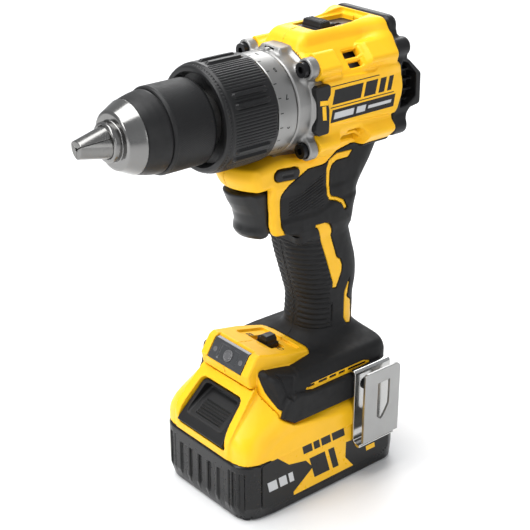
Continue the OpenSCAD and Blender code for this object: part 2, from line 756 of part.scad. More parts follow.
module battery_upper_case() color(yellow) difference() {
    union() {
        battery_plan(battery_split_z, battery_top_z, 0);
        block([-47.5, -tower_hw, battery_top_z - 1], [34, tower_hw, tower_top_z]);
        // front hump behind the latch
        slab([[56.2, 44], [56.2, 49], [45, 62], [31.6, 62], [31.6, 44]], -24, 24);
    }
    battery_plan(battery_split_z - 1, battery_top_z - case_wall, case_wall);
    block([-45, -tower_hw + case_wall, 40], [31, tower_hw - case_wall, tower_top_z - case_wall]);
    // latch pocket
    latch_prism(-12, 13, 0.3);
    // slots for the terminal blades, open to the rear
    for (k = [0:3]) block([-60, -9.9 + 6 * k, 53], [-20, -8.1 + 6 * k, tower_top_z + 1]);
}

// Prism along the latch's face, from depth d0 (outside is negative) to d1
module latch_prism(d0, d1, grow)
    slab([latch_top - latch_dir * grow + latch_in * d0, latch_low + latch_dir * grow + latch_in * d0,
        latch_low + latch_dir * grow + latch_in * d1, latch_top - latch_dir * grow + latch_in * d1],
        -latch_hw - grow, latch_hw + grow);

module battery_latch() color(black) difference() {
    latch_prism(0, 6, 0);
    // spring seat
    latch_axis(3.4, 3, 7);
}

// Round bar along the latch's press direction, from depth d0 to d1
module latch_axis(r, d0, d1) {
    mid = (latch_top + latch_low) / 2;
    translate([mid[0], 0, mid[1]]) rotate([0, atan2(latch_in[0], latch_in[1]), 0])
        translate([0, 0, d0]) cylinder(r = r, h = d1 - d0);
}

module latch_spring() color(steel) {
    mid = (latch_top + latch_low) / 2;
    translate([mid[0], 0, mid[1]]) rotate([0, atan2(latch_in[0], latch_in[1]), 0])
        translate([0, 0, 3.6]) helix(2.3, 0.4, 8.8, 4);
}

module battery_cells() color([0.2, 0.45, 0.5])
    for (i = [-2:2], z = [12.2, 31]) ycyl(9.1, -32.5, 32.5, 18.7 * i, z);

module battery_board() color([0.1, 0.35, 0.2]) block([-42, -20, 42], [26, 20, 43.6]);

module battery_screws() color(black) at_battery_screws() {
    translate([0, 0, 0.5]) cylinder(r = 2.9, h = 1.1);
    translate([0, 0, 1.6 - eps]) cylinder(r = battery_screw_r, h = 6);
}

left_housing();
right_housing();
left_grip();
right_grip();
rear_cap();
rear_cap_screws();
gearcase();
gearcase_screws();
side_badges();
housing_screws();
motor_stator();
stator_coils();
motor_bearings();
ring_gear_1();
spindle_bearing();
trigger_switch();
control_module();
terminal_block();
light_lens();
light_board();
belt_hook();
belt_hook_screw();
threaded_inserts();
trigger();
trigger_spring();
direction_button();
speed_selector();
shift_fork();
ring_gear_2();
clutch_collar();
clutch_scale();
clutch_nut();
clutch_spring();
spindle();
chuck_body();
chuck_screw();
chuck_sleeve();
chuck_nut();
jaw_1();
jaw_2();
jaw_3();
rotor();
motor_shaft();
fan();
carrier_1();
planet_1a();
planet_1b();
planet_1c();
planet_2a();
planet_2b();
planet_2c();
light_switch();
battery_lower_case();
battery_upper_case();
battery_cells();
battery_board();
battery_latch();
latch_spring();
battery_screws();
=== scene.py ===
"""Looks of a cordless drill on its battery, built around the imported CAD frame.

Shapes are signed distances in millimetres, meshed by surface nets and put in
the frame in metres. +X points to the chuck, +Y to the tool's left, +Z up.
"""
import json
import math
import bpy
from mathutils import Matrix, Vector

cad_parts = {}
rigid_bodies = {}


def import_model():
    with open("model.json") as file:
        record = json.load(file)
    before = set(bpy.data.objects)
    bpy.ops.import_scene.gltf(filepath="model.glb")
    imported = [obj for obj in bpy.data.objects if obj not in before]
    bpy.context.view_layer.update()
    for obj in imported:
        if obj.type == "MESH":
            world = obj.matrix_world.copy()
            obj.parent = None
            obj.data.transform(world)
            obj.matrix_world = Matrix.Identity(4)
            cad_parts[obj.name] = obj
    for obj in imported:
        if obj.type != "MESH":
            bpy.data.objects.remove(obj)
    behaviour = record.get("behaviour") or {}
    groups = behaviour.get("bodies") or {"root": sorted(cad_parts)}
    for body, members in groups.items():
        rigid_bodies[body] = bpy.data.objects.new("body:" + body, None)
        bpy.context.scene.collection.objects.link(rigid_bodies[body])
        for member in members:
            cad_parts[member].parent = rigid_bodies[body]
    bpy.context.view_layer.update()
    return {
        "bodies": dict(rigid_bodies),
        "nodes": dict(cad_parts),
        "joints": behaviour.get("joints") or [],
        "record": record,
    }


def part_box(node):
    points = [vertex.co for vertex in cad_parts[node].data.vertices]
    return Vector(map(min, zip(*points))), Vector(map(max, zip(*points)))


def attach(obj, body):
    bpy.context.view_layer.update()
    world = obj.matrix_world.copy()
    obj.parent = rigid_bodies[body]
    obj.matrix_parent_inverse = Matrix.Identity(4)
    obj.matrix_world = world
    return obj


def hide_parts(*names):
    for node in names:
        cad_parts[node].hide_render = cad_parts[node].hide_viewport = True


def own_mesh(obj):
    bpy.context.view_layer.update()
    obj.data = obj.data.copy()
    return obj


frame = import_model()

from concurrent.futures import ThreadPoolExecutor
from functools import reduce

import bpy
import numpy as np
from mathutils import Matrix, Vector

MM = 0.001
AXIS_Z = 212.6
DIAGONAL = 0.7071
BLOCK = 8
SLOPE_STEP = 0.12
FINE = 1.0

# ---------------------------------------------------------------- camera

CAMERA_POS = (0.40445, 0.46750, 0.40529)
CAMERA_RIGHT = (-0.76620, 0.64261, 0.0)
CAMERA_UP = (-0.26827, -0.31987, 0.90869)
LENS_MM = 88.30


def make_camera():
    data = bpy.data.cameras.new("camera")
    data.lens = LENS_MM
    data.sensor_width = 36
    data.clip_start = 0.01
    data.clip_end = 50
    camera = bpy.data.objects.new("camera", data)
    right = Vector(CAMERA_RIGHT)
    up = Vector(CAMERA_UP)
    back = right.cross(up)
    camera.matrix_world = Matrix.LocRotScale(
        Vector(CAMERA_POS), Matrix((right, up, back)).transposed().to_quaternion(), None)
    bpy.context.scene.collection.objects.link(camera)
    bpy.context.scene.camera = camera


make_camera()

# ---------------------------------------------------------------- distances


def both(a, b, r=0.0):
    """Where two solids overlap, with the edge between them rounded to r."""
    if not np.any(r):
        return np.maximum(a, b)
    u = np.maximum(a + r, 0)
    v = np.maximum(b + r, 0)
    return np.minimum(-r, np.maximum(a, b)) + np.sqrt(u * u + v * v)


def join(a, b, r=0.0):
    """Two solids together, with a fillet of r between them."""
    return -both(-a, -b, r)


def cut(a, b, r=0.0):
    """Solid a without solid b, with the edge rounded to r."""
    return both(a, -b, r)


def meet(*solids):
    """Where all the solids overlap, with sharp edges."""
    return reduce(np.maximum, solids)


def span(t, low, high):
    """Slab between two parallel planes."""
    return np.maximum(low - t, t - high)


def flat_box(u, v, cu, cv, hu, hv, r=0.0):
    """Rectangle with round corners, by its middle and half sizes."""
    du = np.abs(u - cu) - (hu - r)
    dv = np.abs(v - cv) - (hv - r)
    outside = np.sqrt(np.maximum(du, 0) ** 2 + np.maximum(dv, 0) ** 2)
    return outside + np.minimum(np.maximum(du, dv), 0) - r


def block(x, y, z, low, high, r=0.0):
    """Box by its two corners, with all edges rounded to r."""
    q = [np.abs(c - (a + b) / 2) - ((b - a) / 2 - r) for c, a, b in zip((x, y, z), low, high)]
    outside = np.sqrt(sum(np.maximum(c, 0) ** 2 for c in q))
    return outside + np.minimum(meet(*q), 0) - r


def capsule(u, v, a, b, radius):
    """Line from a to b grown by radius, in a plane."""
    du, dv = b[0] - a[0], b[1] - a[1]
    t = np.clip(((u - a[0]) * du + (v - a[1]) * dv) / (du * du + dv * dv), 0, 1)
    return np.sqrt((u - a[0] - t * du) ** 2 + (v - a[1] - t * dv) ** 2) - radius


def steps_along(t, middle, pitch, first=-99, last=99):
    """Distance to the nearest of equal steps along t, from number first to number last."""
    number = np.clip(np.round((t - middle) / pitch), first, last)
    return np.abs(t - middle - pitch * number)


def ramp(t, start, width):
    """0 where t is before start, rising to 1 over width. A width below 0 runs the other way."""
    return np.clip((t - start) / width, 0, 1)


def inside_mask(d, width):
    """1 well inside an area and 0 outside it."""
    return ramp(d, 0, -width)


def curve(*points):
    """Smooth function through (t, value) points, read from a table."""
    t, v = np.array(points, float).T
    order = np.argsort(t)
    t, v = t[order], v[order]
    slope = np.gradient(v, t)
    fine = np.linspace(t[0], t[-1], 400)
    i = np.clip(np.searchsorted(t, fine) - 1, 0, len(t) - 2)
    h = t[i + 1] - t[i]
    s = (fine - t[i]) / h
    table = ((1 + 2 * s) * (1 - s) ** 2 * v[i] + s * (1 - s) ** 2 * h * slope[i]
             + s * s * (3 - 2 * s) * v[i + 1] + s * s * (s - 1) * h * slope[i + 1])
    return lambda q: np.interp(q, fine, table).astype(np.float32)


def arc_points(corners, steps=7):
    """Outline points of a polygon whose corners are (u, v) or (u, v, radius)."""
    out = []
    n = len(corners)
    for i, corner in enumerate(corners):
        p = np.array(corner[:2], float)
        r = corner[2] if len(corner) > 2 else 0
        if r == 0:
            out.append(p)
            continue
        a = np.array(corners[i - 1][:2]) - p
        b = np.array(corners[(i + 1) % n][:2]) - p
        la, lb = np.linalg.norm(a), np.linalg.norm(b)
        a, b = a / la, b / lb
        half = math.acos(max(-1, min(1, float(a @ b)))) / 2
        reach = min(r / math.tan(half), la * 0.49, lb * 0.49)
        for k in range(steps + 1):
            t = k / steps
            out.append(p + a * reach * (1 - t) ** 2 + b * reach * t * t)
    return np.array(out)


class Outline:
    """Distance to a closed outline in a plane, read from a table."""

    def __init__(self, corners, pitch=0.25, margin=9.0):
        pts = arc_points(corners)
        self.pitch = pitch
        self.low = pts.min(0) - margin
        size = np.ceil((pts.max(0) + margin - self.low) / pitch).astype(int) + 2
        u = self.low[0] + pitch * np.arange(size[0])[:, None]
        v = self.low[1] + pitch * np.arange(size[1])[None, :]
        best = np.full(size, 1e9)
        inside = np.zeros(size, bool)
        for a, b in zip(pts, np.roll(pts, -1, 0)):
            d = b - a
            t = np.clip(((u - a[0]) * d[0] + (v - a[1]) * d[1]) / max(d @ d, 1e-12), 0, 1)
            best = np.minimum(best, (u - a[0] - t * d[0]) ** 2 + (v - a[1] - t * d[1]) ** 2)
            if a[1] != b[1]:
                crosses = (a[1] > v) != (b[1] > v)
                inside ^= crosses & (u < d[0] * (v - a[1]) / d[1] + a[0])
        self.table = (np.sqrt(best) * np.where(inside, -1, 1)).astype(np.float32)

    def __call__(self, u, v):
        gu = (u - self.low[0]) / self.pitch
        gv = (v - self.low[1]) / self.pitch
        cu = np.clip(gu, 0, self.table.shape[0] - 1.001)
        cv = np.clip(gv, 0, self.table.shape[1] - 1.001)
        i, j = cu.astype(np.int32), cv.astype(np.int32)
        s, t = (cu - i).astype(np.float32), (cv - j).astype(np.float32)
        w = self.table
        near = ((w[i, j] * (1 - s) + w[i + 1, j] * s) * (1 - t)
                + (w[i, j + 1] * (1 - s) + w[i + 1, j + 1] * s) * t)
        return near + (np.abs(gu - cu) + np.abs(gv - cv)) * self.pitch


# ---------------------------------------------------------------- meshing


def evaluate(f, points):
    """f at many points, in chunks on all cores."""
    size = 120000
    chunks = [points[i:i + size] for i in range(0, len(points), size)]
    with ThreadPoolExecutor(4) as pool:
        parts = list(pool.map(lambda c: f(c[:, 0], c[:, 1], c[:, 2]), chunks))
    return np.concatenate(parts)


def slope_of(f, points):
    """Gradient of f by a tetrahedron of samples."""
    corners = np.array([[1, -1, -1], [-1, -1, 1], [-1, 1, -1], [1, 1, 1]], np.float32)
    total = np.zeros_like(points)
    for k in corners:
        total += evaluate(f, points + k * SLOPE_STEP)[:, None] * k
    return total / (4 * SLOPE_STEP)


def sample_grid(f, low, high, h):
    """f on a grid. Blocks far from the surface only hold their sign."""
    low = np.array(low, np.float32)
    counts = np.ceil((np.array(high) - low) / h).astype(int) + 1
    blocks = -(-counts // BLOCK)
    index = np.indices(blocks).reshape(3, -1).T
    middle = (low + (index * BLOCK + (BLOCK - 1) / 2) * h).astype(np.float32)
    d = evaluate(f, middle)
    near = np.abs(d) < 1.25 * BLOCK * h
    values = np.repeat(np.sign(d)[:, None] * 1e3, BLOCK ** 3, 1).astype(np.float32)
    cell = np.indices((BLOCK,) * 3).reshape(3, -1).T
    lattice = (index[near][:, None, :] * BLOCK + cell).reshape(-1, 3)
    values[near] = evaluate(f, (low + lattice * h).astype(np.float32)).reshape(-1, BLOCK ** 3)
    values = values.reshape(*blocks, BLOCK, BLOCK, BLOCK)
    return values.transpose(0, 3, 1, 4, 2, 5).reshape(blocks * BLOCK), low


def net_quads(inside, ids):
    """Quads across every grid edge where the surface passes."""
    quads = []
    for axis in range(3):
        u, v = (axis + 1) % 3, (axis + 2) % 3
        a = [slice(1, -1)] * 3
        b = [slice(1, -1)] * 3
        a[axis] = slice(0, -1)
        b[axis] = slice(1, None)
        first, second = inside[tuple(a)], inside[tuple(b)]
        where = np.argwhere(first != second)
        outward = first[tuple(where.T)]
        for k in (u, v):
            where[:, k] += 1
        corners = []
        for du, dv in ((-1, -1), (0, -1), (0, 0), (-1, 0)):
            c = where.copy()
            c[:, u] += du
            c[:, v] += dv
            corners.append(ids[c[:, 0], c[:, 1], c[:, 2]])
        q = np.stack(corners, 1)
        q[~outward] = q[~outward][:, ::-1]
        quads.append(q)
    return np.concatenate(quads)


def surface(f, low, high, h):
    """Points (mm), normals and quads of the surface f = 0 within a box."""
    h = h * FINE
    values, low = sample_grid(f, np.array(low) - 2.5 * h, np.array(high) + 2.5 * h, h)
    inside = values < 0
    corners = [inside[i:i - 1 or None, j:j - 1 or None, k:k - 1 or None]
               for i in (0, 1) for j in (0, 1) for k in (0, 1)]
    count = sum(c.astype(np.uint8) for c in corners)
    mixed = (count > 0) & (count < 8)
    cells = np.argwhere(mixed)
    ids = np.full(mixed.shape, -1, np.int32)
    ids[mixed] = np.arange(len(cells))
    offset = np.array([(i, j, k) for i in (0, 1) for j in (0, 1) for k in (0, 1)])
    at = values[tuple((cells[:, None, :] + offset).transpose(2, 0, 1))]
    total = np.zeros((len(cells), 3), np.float32)
    number = np.zeros(len(cells), np.float32)
    for a in range(8):
        for axis in (4, 2, 1):
            if a & axis:
                continue
            b = a | axis
            crossing = (at[:, a] < 0) != (at[:, b] < 0)
            t = np.where(crossing, at[:, a] / np.where(crossing, at[:, a] - at[:, b], 1), 0)
            point = offset[a] + t[:, None] * (offset[b] - offset[a])
            total += np.where(crossing[:, None], point, 0)
            number += crossing
    points = (low + (cells + total / number[:, None]) * h).astype(np.float32)
    for _ in range(2):
        g = slope_of(f, points)
        d = evaluate(f, points)
        step = g * (d / np.maximum((g * g).sum(1), 0.2))[:, None]
        length = np.sqrt((step * step).sum(1))[:, None]
        points -= step * np.minimum(1, 0.6 * h / np.maximum(length, 1e-9))
    g = slope_of(f, points)
    normals = g / np.maximum(np.sqrt((g * g).sum(1)), 1e-6)[:, None]
    return points, normals, net_quads(inside, ids)


def mesh_object(name, points, quads, normals=None):
    """Object from points in mm and quads (or triangles)."""
    mesh = bpy.data.meshes.new(name)
    sides = quads.shape[1]
    mesh.vertices.add(len(points))
    mesh.vertices.foreach_set("co", (points * MM).astype(np.float32).ravel())
    mesh.loops.add(quads.size)
    mesh.loops.foreach_set("vertex_index", quads.astype(np.int32).ravel())
    mesh.polygons.add(len(quads))
    mesh.polygons.foreach_set("loop_start", np.arange(0, quads.size, sides, dtype=np.int32))
    mesh.update(calc_edges=True)
    mesh.polygons.foreach_set("use_smooth", np.ones(len(quads), bool))
    if normals is not None:
        mesh.normals_split_custom_set_from_vertices(normals.astype(float).tolist())
    obj = bpy.data.objects.new(name, mesh)
    bpy.context.scene.collection.objects.link(obj)
    return obj


def finish_piece(obj, material, body, nodes=()):
    """Gives a piece its material, its body and the CAD nodes it stands for."""
    obj.data.materials.append(material)
    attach(obj, body)
    if nodes:
        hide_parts(*nodes)
    return obj


def solid(name, f, low, high, h, material, body, nodes=()):
    """One piece meshed from a distance function."""
    points, normals, quads = surface(f, low, high, h)
    return finish_piece(mesh_object(name, points, quads, normals), material, body, nodes)


def pair(names, f, low, high, h, material, body, nodes):
    """Left piece from a distance function, and its mirror image on the right."""
    points, normals, quads = surface(f, low, high, h)
    flip = np.array([1, -1, 1], np.float32)
    left = mesh_object(names[0], points, quads, normals)
    finish_piece(left, material, body, nodes[0])
    right = mesh_object(names[1], points * flip, quads[:, ::-1], normals * flip)
    finish_piece(right, material, body, nodes[1])


# ---------------------------------------------------------------- tool body

BARREL_X0, BARREL_X1 = -50, -3
GEARCASE_X0 = -2.9
BOSS_Y, BOSS_Z = 22.5, 20.3
PANEL = Outline([(-3, 203.4), (-3, 225.2), (-13.8, 225), (-15.8, 226), (-36.2, 224.8), (-39, 226.6),
                 (-53.5, 225.6, 3), (-57, 212.5, 16), (-52.5, 200.2, 4), (-36, 201.4)])
NECK = Outline([(-50, 206), (-3, 206), (-3, 185.2), (12, 187.2), (37, 185.2, 3), (39.4, 180, 6),
                (36, 173.2, 4), (22, 173.2, 2), (20.8, 153, 5), (18.3, 146.4, 6), (4, 144.8, 4),
                (3.2, 138), (-37.6, 138), (-39.5, 150, 12), (-43.5, 161, 12), (-51, 172, 10),
                (-57.5, 184, 6), (-54, 192, 4), (-50, 198)])
FOOT_PLAN = Outline([(-56.6, -12, 14), (-56.6, 12, 14), (-46, 34, 16), (29.5, 34, 4), (35.8, 21, 3),
                     (36.5, 0), (35.8, -21, 3), (29.5, -34, 4), (-46, -34, 16)])
FOOT_SIDE = Outline([(-57, 50.6), (36, 50.6), (36, 84), (12, 76.8, 4), (-2, 78, 6), (-6, 78.4, 6),
                     (-44, 77.4, 10), (-52, 72, 8), (-57, 62, 8)])
FOOT_FRONT = Outline([(-50, 50.6), (34, 50.6), (34, 67.5, 2), (30.5, 75.5, 5), (22, 79, 12), (-50, 79)])
RAIL = Outline([(-44, 50), (22, 50), (30, 55.6), (25.3, 65.2, 1), (18, 66.1, 1), (12, 64.8), (-19, 64),
                (-44, 64)])
HANDLE_MID = curve((60, -24.5), (84, -25), (92, -25.4), (99, -25.5), (108, -25), (118, -23.2),
                   (129.5, -20), (142, -17.2), (152, -16), (168, -17))
HANDLE_HALF = curve((60, 18.5), (84, 17.6), (92, 17.3), (99, 17.2), (108, 19), (118, 20.3),
                    (129.5, 20.4), (142, 19.8), (152, 19.8), (168, 20))
HANDLE_WIDE = curve((60, 15.5), (92, 15.6), (118, 16.4), (142, 17), (152, 17.6), (160, 17), (168, 16))
LIGHT_SIDE = Outline([(-4, 62), (-5, 76, 1.5), (-2.5, 78.2, 1.5), (32.2, 86.6, 1.5), (35, 85.2, 1),
                      (40.6, 76.4, 1.5), (39.2, 69.8, 2), (33, 66), (30, 62)])
LIGHT_PLAN = Outline([(-6, -13), (-6, 13), (-1, 19.4, 1.5), (14, 21.4, 3), (33, 19.6, 2), (45, 19.6),
                      (45, -19.6), (33, -19.6, 2), (14, -21.4, 3), (-1, -19.4, 1.5)])


def axis_radius(y, z):
    return np.sqrt(y * y + (z - AXIS_Z) ** 2)


def bore(x, y, z, radius, low, high):
    """Cylinder on the spindle's axis between two planes across it."""
    return meet(axis_radius(y, z) - radius, span(x, low, high))


def barrel(x, y, z):
    """Motor barrel with its side panel, screw bosses and the hump on top."""
    s = np.abs(y)
    up = np.abs(z - AXIS_Z)
    tube = both(axis_radius(y, z) - 27.4, s - 25.4, 3)
    d = both(tube, span(x, BARREL_X0, BARREL_X1), 0.8)
    d = join(d, both(PANEL(x, z), span(s, 18, 26.4), 0.5), 0.4)
    depth = (s + up) * DIAGONAL
    tilt = (up - s) * DIAGONAL
    facet = both(depth - 28.4, meet(s - 25.4, up - 26), 1.5)
    facet = both(facet, span(x, BARREL_X0, BARREL_X1), 0.8)
    d = join(d, facet, 1)
    boss = np.abs(tilt + 1.55) - 6.2
    front = both(boss, depth - 34.6 + 1.8 * np.maximum(-11.8 - x, 0), 2.6)
    front = meet(both(front, x - 1.3, 0.5), -24 - x)
    rear = both(boss, depth - 34.8 + 1.8 * np.maximum(x + 32.4, 0), 2.6)
    rear = meet(both(rear, BARREL_X0 - x, 0.8), x + 26)
    d = join(d, join(front, rear), 1.6)
    d = join(d, hump(x, y, z), 6)
    return cut(d, meet(axis_radius(y, z) - 27.6, GEARCASE_X0 - x))


HUMP_TOP = curve((-52, 247.4), (-47, 248.6), (-42, 248.2), (-36, 247.2), (-30, 246.7), (-10, 246.5),
                 (-4, 246.2))
HUMP_WIDE = curve((-52, 21), (-46, 19.5), (-38, 15.6), (-30, 14), (-4, 13.4))


def hump(x, y, z):
    """Raised top that carries the speed selector."""
    wide = HUMP_WIDE(x) + np.maximum(HUMP_TOP(x) - 6 - z, 0) * 0.35
    d = both(np.abs(y) - wide, z - HUMP_TOP(x), 5)
    front = (x - 0.6) * 0.9 + (z - 243) * 0.42
    d = both(d, front, 4)
    return both(d, meet(BARREL_X0 - x, 226 - z), 0.8)


def handle(x, y, z, grow=0.0):
    """Hand grip between the neck and the foot."""
    half = HANDLE_HALF(z) + grow
    wide = HANDLE_WIDE(z) + grow
    d = flat_box(x - HANDLE_MID(z), y, 0, 0, half, wide, np.minimum(wide, half) * 0.82)
    return both(d, span(z, 64, 165), 0.5)


def neck(x, y, z):
    edge = np.interp(x, [-38, -12, 0, 40], [14, 6.5, 3.4, 3.4]).astype(np.float32)
    bowed = x + 0.028 * y * y * ramp(x, 20, 10)
    wide = 16.9 - 1.3 * ramp(z, 173, -6) * ramp(x, 2, 8)
    return both(NECK(bowed, z), np.abs(y) - wide, edge)


def foot(x, y, z):
    """Foot over the battery, with the shoulders beside the handle. Its side rails are joined on in
    body().
    """
    s = np.abs(y)
    d = both(FOOT_PLAN(x, y), FOOT_FRONT(s, z), 2.5)
    return both(d, FOOT_SIDE(x, z), 6)


def side_rail(x, y, z):
    return both(RAIL(x, z), span(np.abs(y), 26, 35.8), 1.6)


def light_module(x, y, z):
    return both(LIGHT_SIDE(x, z), LIGHT_PLAN(x, y), 1.2)


CHEVRON = Outline([(29.6, 79.8), (12, 77.4), (22, 66.2), (30, 60), (34.5, 75.2)])
NOTCH = Outline([(27.6, 77), (17, 74.6, 1), (22.8, 62.6, 2), (25.6, 66)])


def chevron_relief(x, y, z):
    """Arrow facets at the foot's front corners."""
    s = np.abs(y)
    zone = meet(CHEVRON(x, z), 18 - s)
    inner = meet(NOTCH(x, z), 18 - s)
    return -0.7 * inside_mask(zone, 1.2) - 0.8 * inside_mask(inner, 0.8)


def body(x, y, z):
    """Outer face of the tool's moulding."""
    d = join(barrel(x, y, z), neck(x, y, z), 3.5)
    d = join(d, handle(x, y, z), 3)
    d = join(d, foot(x, y, z), 11)
    d = join(d, side_rail(x, y, z), 1)
    d = np.where(np.abs(d) < 4, d - chevron_relief(x, y, z), d)
    return join(d, light_module(x, y, z), 0.8)


# ---------------------------------------------------------------- soft grip

GRIP_SIDE = Outline([(15.4, 158), (15.7, 165), (15.1, 169.4, 4), (11.4, 173.4, 4), (-1.7, 179.4, 6),
                     (-12.5, 179.3, 6), (-20.5, 184.6, 3), (-35.7, 187.6, 3), (-66, 187.6), (-66, 42),
                     (48, 42), (48, 143), (2, 143.2, 3), (7, 144.6, 4), (11.6, 146.8, 4),
                     (14.6, 151.6, 4)])
INLAY = Outline([(-31.5, 182.8), (-20.8, 183.2), (-15.4, 180.6, 2), (-13.9, 176.4, 2), (-13.9, 162.2, 2),
                 (-15.5, 159.4, 2), (-20.1, 157.8, 2), (-23.8, 155.3, 2), (-26, 151.5), (-28.2, 152.4),
                 (-25.4, 157.2, 2), (-21, 159.8, 2), (-16.9, 161.2, 1.5), (-15.9, 163, 1.5),
                 (-16.1, 174.4, 1.5), (-17.6, 178, 2), (-20.9, 179.5), (-28.6, 179.4)])
STRIP = Outline([(-6.1, 148.3), (-12.8, 147.9, 2), (-15.9, 146.4, 2), (-18.2, 141.5, 1),
                 (-17.8, 139.1, 1), (-23, 124.9, 1), (-25.4, 123.3, 2), (-27, 119, 2), (-26.7, 115.6, 1),
                 (-23.3, 107), (-20.7, 107.4), (-20.9, 110.5), (-10, 140.4), (-7.6, 145.9), (-6, 146.3)])
TAIL = Outline([(-33, 110.5), (-31.2, 106, 3), (-29.6, 102.2, 3), (-29.9, 86.6, 3), (-32, 82.8, 3),
                (-35.5, 81.9, 3), (-37.2, 84.5, 3), (-35.4, 96, 2), (-31.6, 99, 2), (-32.6, 104, 3)])
SLOT = Outline([(14, 65.8, 1), (8.4, 67.8, 1), (-28.6, 68.4, 1), (-33, 67, 1), (-33.4, 64.8, 1),
                (8, 64.6, 1)])
FOOT_EDGE = Outline([(-2, 40), (-2, 92), (19.8, 92), (20.2, 75.5), (24.4, 67.8), (33, 59), (33.4, 55),
                     (37, 40)])
RIB_START, RIB_PITCH = 87.8, 3.1
RIB_END = curve((84, -19.4), (88, -19.6), (100, -19.2), (110, -19.4), (113, -20), (118, -18), (124, -16),
                (132, -13), (140, -10))


def grip_zone(x, y, z):
    """Side-view area of the soft grip, without the yellow parts that show through."""
    s = np.abs(y)
    d = GRIP_SIDE(x, z)
    d = cut(d, meet(light_module(x, y, z) - 0.5, -8 - x))
    d = cut(d, meet(FOOT_EDGE(s, z), 12 - x))
    d = cut(d, meet(join(join(INLAY(x, z), STRIP(x, z)), TAIL(x, z)), 8 - s))
    return cut(d, meet(SLOT(x, z), 26 - s))


def wave(t, pitch):
    return 0.5 + 0.5 * np.cos(t * (2 * math.pi / pitch))


def grip_relief(x, y, z):
    """Height of the grip's ribs, hatching and pads above its plain face."""
    s = np.abs(y)
    band = meet(RIB_END(z) - x, span(z, 86.2, 139.6), 2.6 - s)
    ribs = 0.62 * inside_mask(band, 0.9) * (wave(z - RIB_START, RIB_PITCH) ** 0.6 - 0.75)
    nubs = 0.5 * inside_mask(span(s, 0.3, 1.5), 0.4) * inside_mask(span(z, 88, 139), 1)
    nubs = nubs * (wave(z - RIB_START, RIB_PITCH) - 0.5) * (x > HANDLE_MID(z))
    flat = meet(x - 10.5, -11.8 - x, span(z, 154, 177.5))
    flat = meet(flat, (z - 164) - (10.5 - x) * 0.5)
    flat = meet(flat, (157.5 - z) - np.abs(x + 4) * 0.12)
    hatch = 0.45 * inside_mask(flat, 0.6) * (wave(x * 0.35 + z, 1.6) - 0.6)
    palm = np.clip((156 + 0.32 * np.clip(-x - 6, 0, 12) - z) / 3.5, 0, 1)
    palm = 0.9 * palm * palm * (3 - 2 * palm) * ramp(z, 138, 8) * ramp(s, 8, 6)
    edge = np.abs(meet(RIB_END(z) - 1.6 - x, span(z, 84.6, 99))) - 0.35
    panel = -0.35 * inside_mask(meet(edge, 2 - s), 0.3) * (z < 99)
    slit = -0.8 * inside_mask(capsule(x, z, (-20.8, 88.5), (-20.8, 97), 0.7), 0.4)
    return ribs + nubs + hatch + palm + panel + slit


def grip_face(x, y, z):
    d = body(x, y, z) - 0.25
    return d - np.where(np.abs(d) < 4, grip_relief(x, y, z), 0)


GRIP_DEPTH = 1.5


def grip(x, y, z):
    d = both(grip_zone(x, y, z) + 0.1, grip_face(x, y, z), 0.5)
    d = meet(d, -GRIP_DEPTH + 0.05 - body(x, y, z))
    d = meet(d, 50 - z)
    return meet(d, 0.04 - y)


# ---------------------------------------------------------------- housing

CAVITY_NECK = Outline([(-46, 202), (-6, 202), (-6, 181), (22, 181), (22, 176.6), (16, 176), (5.6, 167),
                       (1.5, 146), (-33, 146), (-40, 162), (-46, 173)])


# Direction out of the light's sloping face, and its length
FACE_X, FACE_Z = 8.6, 5.6
FACE_LENGTH = math.hypot(FACE_X, FACE_Z)


def module_slope(x, z):
    """Distance out of the light's sloping face."""
    return ((x - 35) * FACE_X + (z - 85.2) * FACE_Z) / FACE_LENGTH


def deck_height(x):
    return 78.2 + (x + 2.5) * 0.242


def slide_seat(x, y, z):
    """Recess in the deck for the light's mode switch."""
    pan = both(flat_box(x, y, 10.6, 0, 9.6, 15.2, 2), deck_height(x) - 1.5 - z, 0.4)
    well = both(flat_box(x, y, 11, 0, 5, 9, 1), deck_height(x) - 5 - z)
    return meet(join(pan, well), z - 92)


FOOT_ROOMS = [((-45, -19, 40), (2, 19, 73)), ((-48, -25.6, 40), (60, 25.6, 60.6)),
              ((0, -16, 62), (33, 16, 74))]


def cavities(x, y, z):
    """Spaces inside the housing."""
    s = np.abs(y)
    d = bore(x, y, z, 23, BARREL_X0 - 2, BARREL_X1 + 2)
    d = join(d, bore(x, y, z, 20, -54.5, -48))
    up = np.abs(z - AXIS_Z)
    corner = meet((s + up) * DIAGONAL - 26.2, s - 23, up - 23)
    d = join(d, meet(corner, span(x, -47, -6)))
    d = join(d, both(CAVITY_NECK(x, z), s - 13.6, 1))
    d = join(d, meet(handle(x, y, z, -3), span(z, 60, 150)))
    for low, high in FOOT_ROOMS:
        d = join(d, block(x, y, z, low, high))
    return d


def vents(x, y, z, grow=0.0):
    """The two cooling slots on each 45 degree facet."""
    tilt = (np.abs(z - AXIS_Z) - np.abs(y)) * DIAGONAL
    upper = flat_box(x, tilt, -26, 1.7, 4.4 + grow, 2.0 + grow, 0.3)
    lower = flat_box(x, tilt, -25.8, -4.0, 3.8 + grow, 1.5 + grow, 0.3)
    return np.minimum(upper, lower)


def vent_frames(x, y, z):
    """Stepped recess round the cooling slots."""
    depth = (np.abs(y) + np.abs(z - AXIS_Z)) * DIAGONAL
    return 0.6 * inside_mask(meet(vents(x, y, z, 0.9), 26 - depth), 0.4)


PILL_ENDS = ((7.6, 179.2), (17.4, 180.1))
SELECTOR_X = -28.6
HOOK_X0, HOOK_X1 = -44, -18


